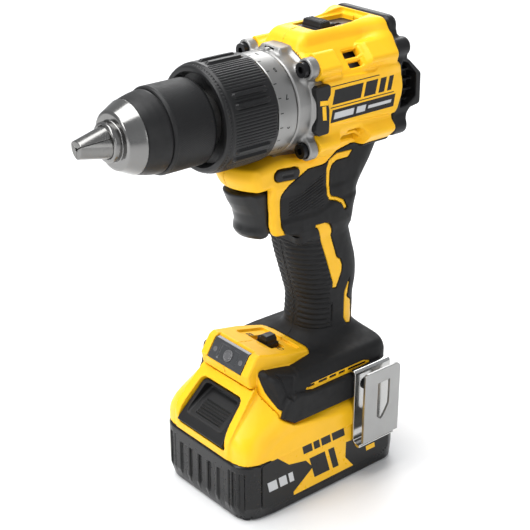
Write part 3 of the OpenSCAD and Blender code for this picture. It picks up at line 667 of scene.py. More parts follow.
def openings(x, y, z):
    """Everything that is cut through the housing's face."""
    s = np.abs(y)
    up = np.abs(z - AXIS_Z)
    d = both(span(x, 0, 34), span(y, -12.2, 12.2))
    d = both(d, span(z, 138, 173.3), 1)
    pill = capsule(x, z, *PILL_ENDS, 3.35)
    d = join(d, meet(pill, s - 40))
    d = join(d, meet(vents(x, y, z), span((s + up) * DIAGONAL, 18, 32)))
    recess = both(flat_box(x, y, SELECTOR_X, 0, 17.2, 8.6, 1.5), 243.4 - z, 0.3)
    rim = both(flat_box(x, y, SELECTOR_X, 0, 19, 10.2, 2.5), 246.2 - z - np.abs(y) * 0.04, 1.2)
    d = join(d, join(recess, rim))
    d = join(d, meet(span(y, -3.4, 3.4), span(x, -44, -9), span(z, 228, 244)))
    d = join(d, slide_seat(x, y, z))
    lens = meet(flat_box(y, module_slope(x, z), 0, 0, 14.2, 3, 0.4), span(z, 75.5, 86.4))
    d = join(d, lens)
    d = join(d, meet(SLOT(x, z) - 0.1, 31.6 - s))
    hook = meet(span(x, HOOK_X0 - 0.3, HOOK_X1 + 0.3), span(s, 32, 44), span(z, 64.6, 67.4))
    return join(d, hook)


SLOT_WINDOWS = [(6.2, 11), (-2.6, 3.4), (-9.2, -4.2), (-15.6, -10.8), (-30.5, -17.6)]


def slot_inlay(x, y, z):
    """Yellow floor of the slot above the side rail, with its windows cut out; the black piece behind them
    is painted shade.
    """
    d = both(SLOT(x, z) - 0.15, body(x, y, z) + 0.4, 0.2)
    d = meet(d, 32.2 - np.abs(y))
    for low, high in SLOT_WINDOWS:
        d = cut(d, both(span(x, low, high), span(z, 66, 67.5), 0.4), 0.1)
    return d


def slot_painted_shade(x, y, z):
    """Black piece behind the slot's windows: painted shade that makes the gaps read dark."""
    return meet(SLOT(x, z) - 0.1, body(x, y, z) + 1.2, 31.7 - np.abs(y))


def housing(x, y, z):
    d = body(x, y, z) + vent_frames(x, y, z)
    shell = meet(grip_zone(x, y, z) - 0.1, -GRIP_DEPTH - body(x, y, z))
    d = cut(d, shell, 0.2)
    d = cut(d, openings(x, y, z), 0.3)
    d = cut(d, cavities(x, y, z))
    d = meet(d, 49.9 - z)
    return meet(d, 0.04 - y)


# ---------------------------------------------------------------- rear cap and gearcase

CAP_X1 = -50.3
CAP_PROFILE = Outline([(CAP_X1, -1), (CAP_X1, 27.2), (-55.5, 27.2, 3), (-62, 24.6, 4), (-67.2, 20, 4),
                       (-69.2, 12, 3), (-69.2, -1)])
LOBE_SIDE = Outline([(-51, 226.8), (-59.2, 227.6, 2), (-62.5, 225.4, 2), (-70.7, 217.8, 3),
                     (-71, 201.2, 2.5), (-63.6, 200.2, 2), (-60.5, 196.5, 2), (-51, 196)])
AIR_SLOT = Outline([(-56.2, 226.2), (-60.4, 224.6), (-66.8, 218, 2), (-67.2, 206, 2), (-62, 202.6),
                    (-56.2, 202)])


def at_bosses(y, z):
    """Distance to the nearest screw boss's axis."""
    return np.sqrt((np.abs(y) - BOSS_Y) ** 2 + (np.abs(z - AXIS_Z) - BOSS_Z) ** 2)


def rear_cap(x, y, z):
    s = np.abs(y)
    d = both(CAP_PROFILE(x, axis_radius(y, z)), s - 25.4, 1.5)
    d = join(d, both(both(LOBE_SIDE(x, z), span(s, 15.5, 25.6), 1.5), x - CAP_X1, 0.3), 1)
    d = join(d, both(at_bosses(y, z) - 5, span(x, -60.4, CAP_X1), 1.8), 3)
    band = both(s - 20.6 - 0.35 * np.maximum(241.6 - z, 0), z - 248.4, 5)
    band = both(meet(band, 226 - z), span(x, -57.4, CAP_X1), 3)
    d = join(d, band, 2)
    d = cut(d, meet(AIR_SLOT(x, z), span(s, 18, 40)), 0.6)
    vane = meet(steps_along(z, 214.6, 5.2) - 0.6, span(s, 17, 21.4))
    d = join(d, meet(vane, AIR_SLOT(x, z), -67.5 - x))
    d = cut(d, bore(x, y, z, 20.6, -64, -40))
    ring = meet(np.abs(axis_radius(y, z) - 8.2) - 1.6, span(x, -66, -57))
    d = join(d, ring)
    d = cut(d, bore(x, y, z, 6.6, -62, -40))
    d = cut(d, at_bosses(y, z) - 1.9)
    d = cut(d, meet(at_bosses(y, z) - 3.5, span(x, -80, -58)), 0.3)
    back = np.abs(axis_radius(y, z) - 15.5) - 0.5
    return cut(d, meet(back, span(x, -80, -68.6)), 0.2)


# Radius, rear and front of the case's bores
GEARCASE_BORES = [(20, 1, 27.4), (8, -9, 2), (9, 26, 45), (12, 44, 60)]


def gearcase(x, y, z):
    """Cast case with four ears, a pad and a pointer on top, and a foot block below."""
    r = axis_radius(y, z)
    s = np.abs(y)
    up = np.abs(z - AXIS_Z)
    angle = np.arctan2(z - AXIS_Z, y)
    lift = 0.35 * inside_mask(np.cos(angle * 3 + math.pi / 2) - 0.2, 0.6)
    d = both(r - 25.6 - lift, span(x, GEARCASE_X0, 13), 1.2)
    flange = both(r - 27.2, span(x, GEARCASE_X0, 3.4), 1.4)
    d = join(d, flange, 2)
    ears = both(at_bosses(y, z) - 5.3, span(x, 1.5, 6.8), 0.8)
    along = (s * BOSS_Y + up * BOSS_Z) / math.hypot(BOSS_Y, BOSS_Z)
    aside = np.abs(s * BOSS_Z - up * BOSS_Y) / math.hypot(BOSS_Y, BOSS_Z)
    web = both(meet(aside - 4.4, along - 29), span(x, 1.5, 5.8), 0.8)
    d = join(d, join(ears, web, 1.5), 3)
    side = both(span(s, 20, 26.2), both(up - 12, span(x, GEARCASE_X0, 2.6), 1), 1)
    d = join(d, side, 2)
    top = both(both(s - 7.5, span(z, 230, 240.2), 1.5), span(x, GEARCASE_X0, 9.5), 1.2)
    d = join(d, top, 2)
    pointer = both(both(s - 1.4, span(z, 230, 239.6), 0.8), span(x, 8.5, 12.6), 0.8)
    d = join(d, pointer, 0.6)
    base = both(both(s - 9, span(z, 184.2, 200), 1.2), span(x, GEARCASE_X0, 14.5), 1.2)
    d = join(d, base, 2)
    tube = both(r - 22, span(x, 12, 29.5))
    d = join(d, join(tube, both(r - 14, span(x, 28, 54), 0.5)))
    for radius, low, high in GEARCASE_BORES:
        d = cut(d, bore(x, y, z, radius, low, high))
    d = cut(d, block(x, y, z, (-4, -3.3, 225), (26, 3.3, 235)))
    d = cut(d, block(x, y, z, (-4, -3.3, 225), (9.8, 3.3, 239.4)))
    d = cut(d, meet(at_bosses(y, z) - 2.2, span(x, -9, 12)))
    return cut(d, meet(at_bosses(y, z) - 3.85, 6 - x), 0.3)


BADGE = Outline([(3.1, 224.6, 1.5), (-3.8, 224.9, 1.5), (-5.3, 223.6, 1), (-5.2, 219.4, 1),
                 (-3.3, 216.8, 1), (-4.6, 212.2, 2), (-4.8, 203.9, 1), (-4.6, 200, 1.5), (2.1, 199.8, 1),
                 (4.2, 202.2, 1), (3.8, 205.7, 2), (2.9, 209, 2), (3.1, 216.5, 2), (4.1, 220.4, 1),
                 (4.5, 223.4, 1)])
BADGE_MARK = [[(-2.6, 207.2), (-0.2, 207.6), (0.4, 214.6), (-2, 214.4)],
              [(-3.4, 214.6), (1.8, 215.2), (1.8, 217.6), (-3, 217)]]


def side_badge(x, y, z):
    return both(BADGE(x, z), span(np.abs(y), 24.6, 28.4), 0.6)


def left_badge(x, y, z):
    return meet(side_badge(x, y, z), 1 - y)


# ---------------------------------------------------------------- clutch collar and scale

SHARP_DEGREES = 38


def turned(name, profile, steps, relief=None):
    """Closed profile of (x, radius) points in mm turned round the spindle axis."""
    profile = np.array(profile, float)
    n = len(profile)
    angle = np.linspace(0, 2 * math.pi, steps, endpoint=False)
    x = np.repeat(profile[:, 0][:, None], steps, 1)
    r = np.repeat(profile[:, 1][:, None], steps, 1)
    a = np.repeat(angle[None, :], n, 0)
    if relief is not None:
        x, r = relief(x, r, a)
    points = np.stack([x, r * np.cos(a), AXIS_Z + r * np.sin(a)], -1).reshape(-1, 3)
    i = np.arange(n)[:, None]
    j = np.arange(steps)[None, :]
    i2, j2 = (i + 1) % n, (j + 1) % steps
    quads = np.stack([i * steps + j, i * steps + j2, i2 * steps + j2, i2 * steps + j], -1).reshape(-1, 4)
    area = np.sum(profile[:, 0] * np.roll(profile[:, 1], -1) - np.roll(profile[:, 0], -1) * profile[:, 1])
    if area > 0:
        quads = quads[:, ::-1]
    obj = mesh_object(name, points, quads)
    obj.data.set_sharp_from_angle(angle=math.radians(SHARP_DEGREES))
    return obj


def polyline(corners, spacing, fillet=0.4):
    """Closed profile with round corners and points no further apart than spacing."""
    pts = arc_points([(x, r, fillet) for x, r in corners], 3)
    out = []
    for p, q in zip(pts, np.roll(pts, -1, 0)):
        count = max(1, int(np.ceil(np.linalg.norm(q - p) / spacing)))
        out += [p + (q - p) * k / count for k in range(count)]
    return out


def collar_relief(x, r, a):
    """Fine ribs, and six groups of two raised bars."""
    outer = ramp(r, 25.6, 0.6)
    turn = (a / (math.pi / 3)) % 1
    across = (turn - 0.5) * (math.pi / 3) * 26.6
    bar = np.minimum(capsule(across, x, (-2.6, 30.8), (-2.6, 48.6), 1.05),
                     capsule(across, x, (2.6, 30.8), (2.6, 48.6), 1.05))
    on_bar = np.clip(0.5 - bar / 0.5, 0, 1)
    plain = ramp(np.abs(across), 5.2, 0.5)
    ribs = ramp(x, 26.6, 1.2) * ramp(x, 52.2, -1.2)
    ridge = np.abs(np.sin(a * 54)) ** 0.7 - 0.7
    groove = np.clip(1 - np.abs(bar - 0.7) / 0.4, 0, 1)
    r = r + outer * (0.34 * ridge * ribs * plain + 1.0 * on_bar - 0.35 * groove)
    rear = ramp(x, 27.5, -1.5) * ramp(r, 23, 1)
    notch = ramp(np.abs(across), 9.4, 0.8)
    return x + rear * notch * 1.1, r


COLLAR = [(25.2, 23.5), (25.2, 26.1), (26.2, 26.7), (38, 26.8), (52.2, 26.7), (53, 26.3), (53.4, 25.9),
          (53.8, 26.2), (55.2, 25.6), (55.8, 24.8), (55.8, 23), (54.4, 22.4), (51, 21.8), (51, 14.4),
          (50, 14.4), (50, 20.7), (30.5, 20.7), (30.5, 22.3), (26, 22.3)]
SCALE_RING = [(13.4, 22.3), (13.4, 25.2), (14.1, 25.7), (24.4, 25.7), (24.9, 25.3), (24.9, 22.3)]


def rim_serration(x, r, a):
    """Tiny teeth on the collar's front rim, added to the ribs."""
    x, r = collar_relief(x, r, a)
    rim = np.clip(1 - np.abs(x - 53.9) / 0.45, 0, 1) * (r > 24)
    return x, r + rim * 0.16 * np.sign(np.sin(a * 90))


def wrapped_text(name, text, size, x, angle, radius, turn):
    """Text mesh laid on the scale ring at an angle, reading along or round it."""
    data = bpy.data.curves.new(name, "FONT")
    data.body = text
    data.size = size
    data.offset = 0.1
    data.align_x = "CENTER"
    data.align_y = "CENTER"
    source = bpy.data.objects.new(name, data)
    bpy.context.scene.collection.objects.link(source)
    bpy.context.view_layer.update()
    flat = source.to_mesh()
    coords = np.array([v.co[:2] for v in flat.vertices])
    faces = [list(p.vertices) for p in flat.polygons]
    source.to_mesh_clear()
    bpy.data.objects.remove(source)
    bpy.data.curves.remove(data)
    u = coords[:, 0] * math.cos(turn) - coords[:, 1] * math.sin(turn)
    v = coords[:, 0] * math.sin(turn) + coords[:, 1] * math.cos(turn)
    a = angle + u / radius
    points = np.stack([x + v, radius * np.cos(a), AXIS_Z + radius * np.sin(a)], -1)
    return points, faces


def face_mesh(name, parts):
    """Object from lists of (points in mm, faces)."""
    points, faces = [], []
    for p, f in parts:
        start = sum(len(q) for q in points)
        points.append(p)
        faces += [[i + start for i in face] for face in f]
    mesh = bpy.data.meshes.new(name)
    mesh.from_pydata((np.concatenate(points) * MM).tolist(), [], faces)
    mesh.update()
    obj = bpy.data.objects.new(name, mesh)
    bpy.context.scene.collection.objects.link(obj)
    return obj


# ---------------------------------------------------------------- chuck

JAW_TILT = math.radians(15)
JAW_TIP = 120.8
CHUCK_PROFILE = Outline([(58, -1), (58, 12), (62, 12), (62, 17.4), (78.3, 17.4), (78.3, 12.2),
                         (87.7, 12.2), (87.7, 16.8), (93.9, 16.8), (93.9, 17.7, 0.4), (95, 17.2, 0.6),
                         (101.8, 13.9, 0.8), (102.3, 12.6, 0.6), (102.3, 9.6, 0.3), (106, 9.4, 0.7),
                         (106.4, 8, 0.5), (106.4, -1)])
SLEEVE = [(57.4, 12.3), (57.4, 19.6), (58.2, 20.6), (59.6, 21), (80.2, 21), (81.3, 20.5), (81.6, 19.9),
          (81.6, 19.2), (82.2, 19.2), (82.3, 19.75), (83.2, 19.8), (87, 19.2), (90.5, 18.4),
          (93.2, 17.6), (93.7, 17.2), (93.7, 16.95), (87.9, 16.95), (87.9, 17.6), (78.5, 17.6),
          (78.5, 18.8), (60, 18.8), (60, 12.3)]


def jaw_frame(x, y, z, k):
    """Along and across a jaw's axis: distance back from its tip, and sideways distances."""
    angle = math.radians(90 + 120 * k)
    out = y * math.cos(angle) + (z - AXIS_Z) * math.sin(angle)
    side = -y * math.sin(angle) + (z - AXIS_Z) * math.cos(angle)
    back = (JAW_TIP - x) * math.cos(JAW_TILT) + out * math.sin(JAW_TILT)
    high = out * math.cos(JAW_TILT) - (JAW_TIP - x) * math.sin(JAW_TILT)
    return back, high, side, out


def jaw_section(high, side):
    """Section of a jaw across its axis: a wide arc outside, flat inside."""
    return both(np.sqrt((high + 2.4) ** 2 + side ** 2) - 6.2, -3.9 - high, 0.8)


def chuck_body(x, y, z):
    r = axis_radius(y, z)
    d = CHUCK_PROFILE(x, r)
    d = cut(d, meet(r - 6.35, span(x, 40, 74)))
    d = cut(d, meet(r - 6.8, 78 - x), 0.3)
    d = cut(d, r - 3)
    for k in range(3):
        back, high, side, _ = jaw_frame(x, y, z, k)
        d = cut(d, meet(jaw_section(high, side) - 0.12, -5 - back), 0.15)
    return d


def jaw(k):
    """Distance function of one jaw, cut to its third of a circle."""
    def field(x, y, z):
        back, high, side, out = jaw_frame(x, y, z, k)
        d = both(jaw_section(high, side), span(back, 0, 34), 0.3)
        wedge = 0.1 + 0.5 * np.abs(side) - math.sin(math.pi / 3) * out
        d = both(d, wedge, 0.15)
        d = cut(d, axis_radius(y, z) - 0.85)
        d = both(d, x - JAW_TIP + 0.05, 0.35)
        teeth = np.maximum(wave(back, 1.5) * 0.45 - 0.1, 0) * (back > 18) * (high > 0)
        return d + teeth
    return field


def sleeve_relief(x, r, a):
    """Very fine diagonal knurl on the sleeve's matte grip."""
    grip = ramp(x, 59.8, 0.6) * ramp(x, 80, -0.6) * (r > 20.5)
    lines = np.abs(np.sin(a * 66 + x * 1.1))
    return x, r - grip * 0.22 * (1 - lines) ** 1.3


# ---------------------------------------------------------------- controls

TRIGGER = Outline([(7.2, 150.4), (7.2, 171), (34.6, 171.6, 1), (36.4, 170.6, 1.5), (34, 165, 6),
                   (30.6, 159, 6), (29.2, 153, 5), (30.2, 148.6, 3), (27.8, 145.4, 2.5), (23, 145.4, 4),
                   (18.6, 150, 3)])


TRIGGER_SPRING_Z = 160.5


def trigger(x, y, z):
    side = np.abs(y) - 11.7 + 0.1 * np.maximum(x - 22, 0)
    bowed = x + 0.045 * y * y * ramp(x, 14, 10)
    d = both(TRIGGER(bowed, z), side, 3)
    hollow = meet(np.sqrt(y * y + (z - TRIGGER_SPRING_Z) ** 2) - 3.6, span(x, 4, 20))
    return cut(d, hollow)


def direction_button(x, y, z):
    s = np.abs(y)
    pill = capsule(x, z, *PILL_ENDS, 3.0)
    d = both(pill, s - 18.2, 1)
    dimple = capsule(x, z, (9.4, 179.3), (15.6, 179.9), 1.2)
    return d + 0.5 * inside_mask(meet(dimple, 15 - s), 1.0)


def speed_selector(x, y, z):
    """Sliding plate with a two-step knob."""
    plate = block(x, y, z, (-29.2, -7.8, 243.8), (-11.8, 7.8, 244.9), 0.4)
    low = block(x, y, z, (-27.4, -6.8, 243.8), (-17, 6.8, 246.6), 0.9)
    high = block(x, y, z, (-24, -6.8, 243.8), (-17.4, 6.8, 248.4), 1.1)
    d = join(plate, join(low, high, 0.8), 0.5)
    d = cut(d, meet(steps_along(x, -20.6, 1.7) - 0.3, span(x, -23.2, -18), 247.9 - z), 0.2)
    return join(d, block(x, y, z, (-18, -0.9, 239.6), (-12, 0.9, 244.4), 0.3))


def lamp_eye(x, y, z, side, radius):
    """Distance to a lamp's round edge in the plane of the light's face."""
    along = (z - 80.7) * FACE_X / FACE_LENGTH - (x - 37.9) * FACE_Z / FACE_LENGTH
    return np.sqrt((y - side) ** 2 + along * along) - radius


def light_lens(x, y, z):
    """Smoky window with a shallow pan round its middle lamp."""
    out = module_slope(x, z)
    d = both(flat_box(y, z, 0, 80.7, 13.6, 4.8, 0.4), span(out, -2.4, -0.25), 0.3)
    pan = flat_box(y, z, 0, 80.7, 7.6, 3.6, 1.2)
    return d + 0.5 * inside_mask(pan, 0.6)


def lamps(x, y, z):
    """Round lamp in the middle and a small one on each side."""
    out = module_slope(x, z)
    d = both(lamp_eye(x, y, z, 0, 3.3), span(out, -2, -0.15), 0.3)
    d = cut(d, meet(np.abs(lamp_eye(x, y, z, 0, 2.3)) - 0.25, -0.5 - out), 0.1)
    for side in (-10.4, 10.4):
        d = np.minimum(d, both(lamp_eye(x, y, z, side, 1.5), span(out, -2, -0.1), 0.2))
    return d


def selector_plate(x, y, z):
    """Black floor of the selector's recess, with the slot for its link."""
    d = both(flat_box(x, y, SELECTOR_X, 0, 16.9, 8.2, 1.2), span(z, 243.2, 243.7), 0.1)
    return cut(d, meet(np.abs(y) - 1.3, span(x, -36.5, -10)))


def control_module(x, y, z):
    """Potted electronics under the handle, with cooling fins on top."""
    d = block(x, y, z, (-42, -16, 68.6), (-5, 16, 71.4), 1)
    fins = meet(steps_along(y, 0, 4, -3, 3) - 0.8, span(x, -39, -8), span(z, 70, 73))
    return join(d, fins, 0.3)


def light_switch(x, y, z):
    base = block(x, y, z, (6.6, -4.6, 77.4), (15.2, 4.6, 80.4), 0.4)
    low = block(x, y, z, (7.2, -4, 79), (14.8, 4, 83.2), 0.8)
    d = join(base, low, 0.4)
    step = block(x, y, z, (7.6, -1.6, 79), (14.4, 3.6, 84.6), 0.8)
    d = join(d, step, 0.5)
    return cut(d, meet(steps_along(y, -2.6, 1.1) - 0.2, span(y, -4, -1.8), 82.8 - z), 0.1)


# ---------------------------------------------------------------- belt hook

HOOK_SIDE = arc_points([(34.4, 66), (37.4, 66, 2.6), (37.4, 24, 3), (40.8, 22.1, 3.8), (45, 24, 3.5),
                        (45.3, 68)], 10)
HOOK_HALF_THICK = 0.8
HOOK_TONGUE_Y = 44.2
HOOK_WINDOW = Outline([(-27.6, 60), (-36.4, 60), (-36.4, 45, 2), (-33.8, 40.4, 2), (-31, 36.8, 1.5),
                       (-27.6, 39.6, 2)])
HOOK_TONGUE = Outline([(-44, 26), (-44, 68, 4), (-18, 68, 2.5), (-18, 26)])


def belt_hook(x, y, z):
    """Steel strip bent round to an outer tongue with a window."""
    d = np.full(x.shape, 1e3, np.float32)
    for a, b in zip(HOOK_SIDE[:-1], HOOK_SIDE[1:]):
        if abs(a - b).max() > 1e-6:
            d = np.minimum(d, capsule(y, z, a, b, HOOK_HALF_THICK))
    d = both(d, span(x, HOOK_X0, HOOK_X1), 0.25)
    tongue = meet(HOOK_TONGUE(x, z), -HOOK_WINDOW(x, z))
    d = both(d, np.where(y > 42.8, tongue, -9), 0.25)
    hole = np.sqrt((x + 27) ** 2 + (z - 57) ** 2) - 2.1
    return cut(d, meet(hole, y - 40), 0.2)


# ---------------------------------------------------------------- battery

BULGE_TOP = curve((-60, 47), (-20, 48.6), (11, 48.7), (25, 47.4), (34, 44.4), (41, 40), (46, 37.6),
                  (60, 36.5))
PACK_HALF_X, PACK_HALF_Y, PACK_CORNER = 56.25, 36.3, 12
CASE_WALL = 2.6
LATCH_TOP = (39.5, 60.9)
LATCH_OUT_X, LATCH_OUT_Z = 0.757, 0.6534
LATCH = Outline([(-16.4, -0.6, 4), (16.4, -0.6, 4), (19.2, 26.4, 0.6), (-19.2, 26.4, 0.6)])
DISH = Outline([(-13.4, 1.4, 2.5), (13.4, 1.4, 2.5), (15.4, 21, 3), (-15.4, 21, 3)])
LABEL = Outline([(44.4, 6.2, 2), (44.4, 33.4, 1), (38.9, 34.1), (-43.5, 34.1, 1), (-47.5, 20.4, 3),
                 (-47.5, 9.5, 2), (-40, 5.6, 2)])
LABEL_YELLOW = [(34.6, 34.56), (26.2, 27), (14.5, 24.6), (9.2, 18.4), (22.8, 8.4), (22.6, 6.4),
                (-20.6, 6.9), (-14.4, 14.6), (-14.6, 24.2), (-18.4, 23.8), (-46.2, 21), (-43.2, 34.56)]
HUMP_ZONE = Outline([(22.4, 49.4, 3), (30.6, 55.2, 1), (31, 75), (60, 75), (60, 30), (-46, 30),
                     (-46, 38)])


def battery_plan(x, y, inset=0.0):
    """The pack seen from above, drawn in by inset."""
    return flat_box(x, y, 0, 0, PACK_HALF_X - inset, PACK_HALF_Y - inset, PACK_CORNER - inset)


def latch_place(x, z):
    """Position on the latch's sloping face: down it, and out of it."""
    down = (x - LATCH_TOP[0]) * LATCH_OUT_Z - (z - LATCH_TOP[1]) * LATCH_OUT_X
    out = (x - LATCH_TOP[0]) * LATCH_OUT_X + (z - LATCH_TOP[1]) * LATCH_OUT_Z
    return down, out


def battery_hump(x, y, z):
    """Raised front that meets the foot and frames the latch."""
    s = np.abs(y)
    frame = LATCH_OUT_X * x + LATCH_OUT_Z * z - 73.6
    flank = 0.390 * x + 0.611 * s + 0.688 * z - 72.0
    d = both(both(frame, flank, 7), x - 56.2, 5)
    d = both(d, battery_plan(x, y, 0.05), 5)
    frame_edge = both(meet(frame + 0.3, s - 21.5 - (x - 40) * 0.16), x - 56.25, 3)
    d = join(d, frame_edge, 1.2)
    d = both(d, HUMP_ZONE(x, z), 1.2)
    return meet(d, 0.7 - body(x, y, z))


def battery_upper(x, y, z):
    s = np.abs(y)
    base = both(battery_plan(x, y), z - BULGE_TOP(x), 6)
    d = join(base, battery_hump(x, y, z), 2.2)
    tower = block(x, y, z, (-47.5, -25, 44), (37, 25, 60), 0.8)
    rail = block(x, y, z, (-47.5, -23, 51.5), (37.2, 23, 56), 0.3)
    tower = cut(tower, meet(0.2 - rail, span(z, 51.5, 56), 23 - s), 0.2)
    d = join(d, meet(tower, 46 - z))
    down, out = latch_place(x, z)
    d = cut(d, meet(LATCH(y, down) - 0.35, span(out, -13, 12)), 0.5)
    inner = meet(battery_plan(x, y, CASE_WALL) + 0.35 * np.maximum(z - 36, 0), span(z, 30, 44.6))
    inner = cut(inner, meet(LATCH(y, down) - CASE_WALL, -15 - out))
    d = cut(d, inner)
    d = cut(d, block(x, y, z, (-45, -22.4, 40), (31, 22.4, 57.4)))
    d = cut(d, meet(steps_along(y, -9, 6, 0, 3) - 0.9, span(x, -60, -20), 53 - z))
    seam = meet(np.abs(z - 35) - 0.2, -battery_plan(x, y, 0.6))
    d = cut(d, meet(seam, -meet(span(x, -47, 39), 30 - s)), 0.1)
    return meet(d, 34.6 - z)


def battery_lower(x, y, z):
    s = np.abs(y)
    taper = 0.30 * np.maximum(9 - z, 0)
    d = both(battery_plan(x, y) + taper * np.clip((x - 30) / 20, 0.25, 1), span(z, 0, 34.5), 1.6)
    front = meet(steps_along(s, 0, 8) - 2.7, s - 19.5, span(z, 3.5, 26.5))
    d = cut(d, meet(front, 55.1 - np.abs(x)), 0.6)
    corner = meet(steps_along(s, 26.6, 4.2) - 1.1, span(s, 23, 33.4), span(z, 2, 30))
    d = cut(d, meet(corner, -battery_plan(x, y, 0.9) + (np.abs(x) < 44) * 9), 0.4)
    d = cut(d, meet(LABEL(x, z) - 0.6, 35.9 - s), 0.15)
    bead = meet(np.abs(z - 3.9) - 0.35, 35.6 - s + taper * 0.25, span(x, -40, 40))
    d = cut(d, bead, 0.2)
    d = cut(d, meet(battery_plan(x, y, CASE_WALL), span(z, CASE_WALL, 40)), 0.5)
    posts = np.sqrt((np.abs(x) - 49) ** 2 + (s - 29) ** 2)
    d = join(d, meet(posts - 3.2, span(z, 1, 8)))
    d = cut(d, meet(posts - 1.6, z - 7.9))
    d = cut(d, meet(posts - 3, z - 1.6), 0.2)
    pad = flat_box(np.abs(x) - 30, s - 20, 0, 0, 12, 3, 2.5)
    return cut(d, meet(np.abs(pad) - 0.5, z - 0.5), 0.1)


def battery_latch(x, y, z):
    down, out = latch_place(x, z)
    d = both(LATCH(y, down) + 0.15, span(out, -6, 1.6), 0.7)
    floor = -4.0 + 0.28 * (down - 2.2) - out
    d = cut(d, both(DISH(y, down), floor, 1.2), 0.5)
    groove = meet(steps_along(down, 9.4, 1.75) - 0.35, span(down, 8.6, 18.2), np.abs(y) - 10.2)
    d = cut(d, meet(groove, floor - 0.45), 0.1)
    seat = np.sqrt(y * y + (down - 11.3) ** 2) - 3.4
    return cut(d, meet(seat, out + 3))


# ---------------------------------------------------------------- flat marks

def prism(outline, y, thick, flip=False):
    """Thin plate from an (x, z) polygon, at distance y on the left side or, flipped, the right."""
    n = len(outline)
    side = -1 if flip else 1
    points = [(x, side * y, z) for x, z in outline] + [(x, side * (y + thick), z) for x, z in outline]
    area = sum(outline[i - 1][0] * outline[i][1] - outline[i][0] * outline[i - 1][1] for i in range(n))
    faces = [list(range(n)), list(range(2 * n - 1, n - 1, -1))]
    faces += [[i, i + n, (i + 1) % n + n, (i + 1) % n] for i in range(n)]
    if (area > 0) == flip:
        faces = [f[::-1] for f in faces]
    return np.array(points, float), faces


def on_pan(points):
    """Points in plan, laid just above the floor of the mode switch's recess."""
    return np.array([(x, y, deck_height(x) - 1.42) for x, y in points])


def deck_icons():
    """A small grid and a ring beside the light's mode switch."""
    parts = []
    pitch, side = 1.9, 1.5
    for x0 in (12.2, 12.2 + pitch):
        for y0 in (-12.6, -12.6 + pitch):
            corners = [(x0, y0), (x0 + side, y0), (x0 + side, y0 + side), (x0, y0 + side)]
            parts.append((on_pan(corners), [[0, 1, 2, 3]]))
    steps = 24
    angles = [k * 2 * math.pi / steps for k in range(steps)]
    ring = [(11 + r * math.cos(a), 11.2 + r * math.sin(a)) for r in (1.8, 1.3) for a in angles]
    faces = [[k, (k + 1) % steps, steps + (k + 1) % steps, steps + k] for k in range(steps)]
    parts.append((on_pan(ring), faces))
    return face_mesh("deck_icons", parts)


def slanted(x0, x1, z0, z1, lean):
    """Parallelogram in side view whose top is moved back by lean."""
    return [(x0, z0), (x1, z0), (x1 - lean, z1), (x0 - lean, z1)]


SIDE_LABEL = [slanted(-50, -7, 222.2, 222.7, 0), slanted(-50, -7, 211.6, 212.1, 0)]
SIDE_LABEL += [slanted(x0, x1, 213.2, 220.6, 1.6)
               for x0, x1 in ((-27, -8), (-37, -29), (-43, -39), (-48, -45))]
SIDE_LABEL += [slanted(-50, -7, 204.2, 210.6, 1.2)]
SIDE_BARS = [slanted(-22, -9, 205.8, 209, 0.8), slanted(-30, -24, 205.8, 209, 0.8),
             slanted(-48, -32, 206.6, 208.2, 0.5)]
LABEL_GROUND = arc_points([(44, 6.8, 1.5), (44, 33.2, 1), (38.9, 33.8), (-43, 34.5, 1), (-46.9, 20.4, 3),
                           (-46.9, 9.8, 2), (-39.8, 6.2, 2)], 4)
PACK_BARS = [slanted(x0, x1, 15.6, 21.6, -1.4) for x0, x1 in ((33.6, 39.6), (27, 32), (22.4, 25.4))]
PACK_BLOCKS = [slanted(x0, x1, 11.4, 24.8, -4) for x0, x1 in ((-3, 8), (-9.6, -5.4))]
PACK_TEXT = [slanted(x0, x1, 29, 34.2, -1.2)
             for x0, x1 in ((9.6, 16), (4.2, 8.4), (-3.6, 3), (-13.6, -4.8))]
PACK_DASH = [slanted(-37.8, -29.6, 16.8, 17.5, 0), slanted(-37, -30.4, 12.2, 15.2, -0.6)]


def marks(name, outlines, y, thick, material, body):
    """Thin printed shapes on both sides."""
    parts = [prism(o, y, thick, flip) for o in outlines for flip in (False, True)]
    return finish_piece(face_mesh(name, parts), material, body)


# ---------------------------------------------------------------- materials

# Colour sockets of the mix node
MIX_A, MIX_B, MIX_RESULT = 6, 7, 2

# Size of the features of each kind of noise, in mm
MOTTLE_MM, POLISH_MM, STREAK_MM = 14, 4, 0.18


def add_node(tree, kind, values=(), **settings):
    """Shader node with its settings and (input, value or output) pairs."""
    item = tree.nodes.new(kind)
    for key, value in settings.items():
        setattr(item, key, value)
    for socket, value in values:
        if isinstance(value, bpy.types.NodeSocket):
            tree.links.new(value, item.inputs[socket])
        else:
            item.inputs[socket].default_value = value
    return item


def noise(tree, vector, size_mm, detail):
    """Noise with features of about size_mm."""
    values = [("Vector", vector), ("Scale", 1 / (size_mm * MM)), ("Detail", detail)]
    return add_node(tree, "ShaderNodeTexNoise", values).outputs["Fac"]


def remap(tree, value, low, high, first=0.3, last=0.7):
    pairs = [("Value", value), ("From Min", first), ("From Max", last), ("To Min", low), ("To Max", high)]
    return add_node(tree, "ShaderNodeMapRange", pairs).outputs["Result"]


def stretched(tree, vector, scale):
    return add_node(tree, "ShaderNodeMapping", [("Vector", vector), ("Scale", scale)]).outputs["Vector"]


def round_axis(tree, vector):
    """Coordinates that only change along the spindle and outwards from it."""
    flat = add_node(tree, "ShaderNodeMapping",
                    [("Vector", vector), ("Location", (0, 0, -AXIS_Z * MM)), ("Scale", (0, 1, 1))])
    radius = add_node(tree, "ShaderNodeVectorMath", [(0, flat.outputs["Vector"])], operation="LENGTH")
    parts = add_node(tree, "ShaderNodeSeparateXYZ", [("Vector", vector)])
    values = [("X", parts.outputs["X"]), ("Y", radius.outputs["Value"])]
    return add_node(tree, "ShaderNodeCombineXYZ", values).outputs["Vector"]


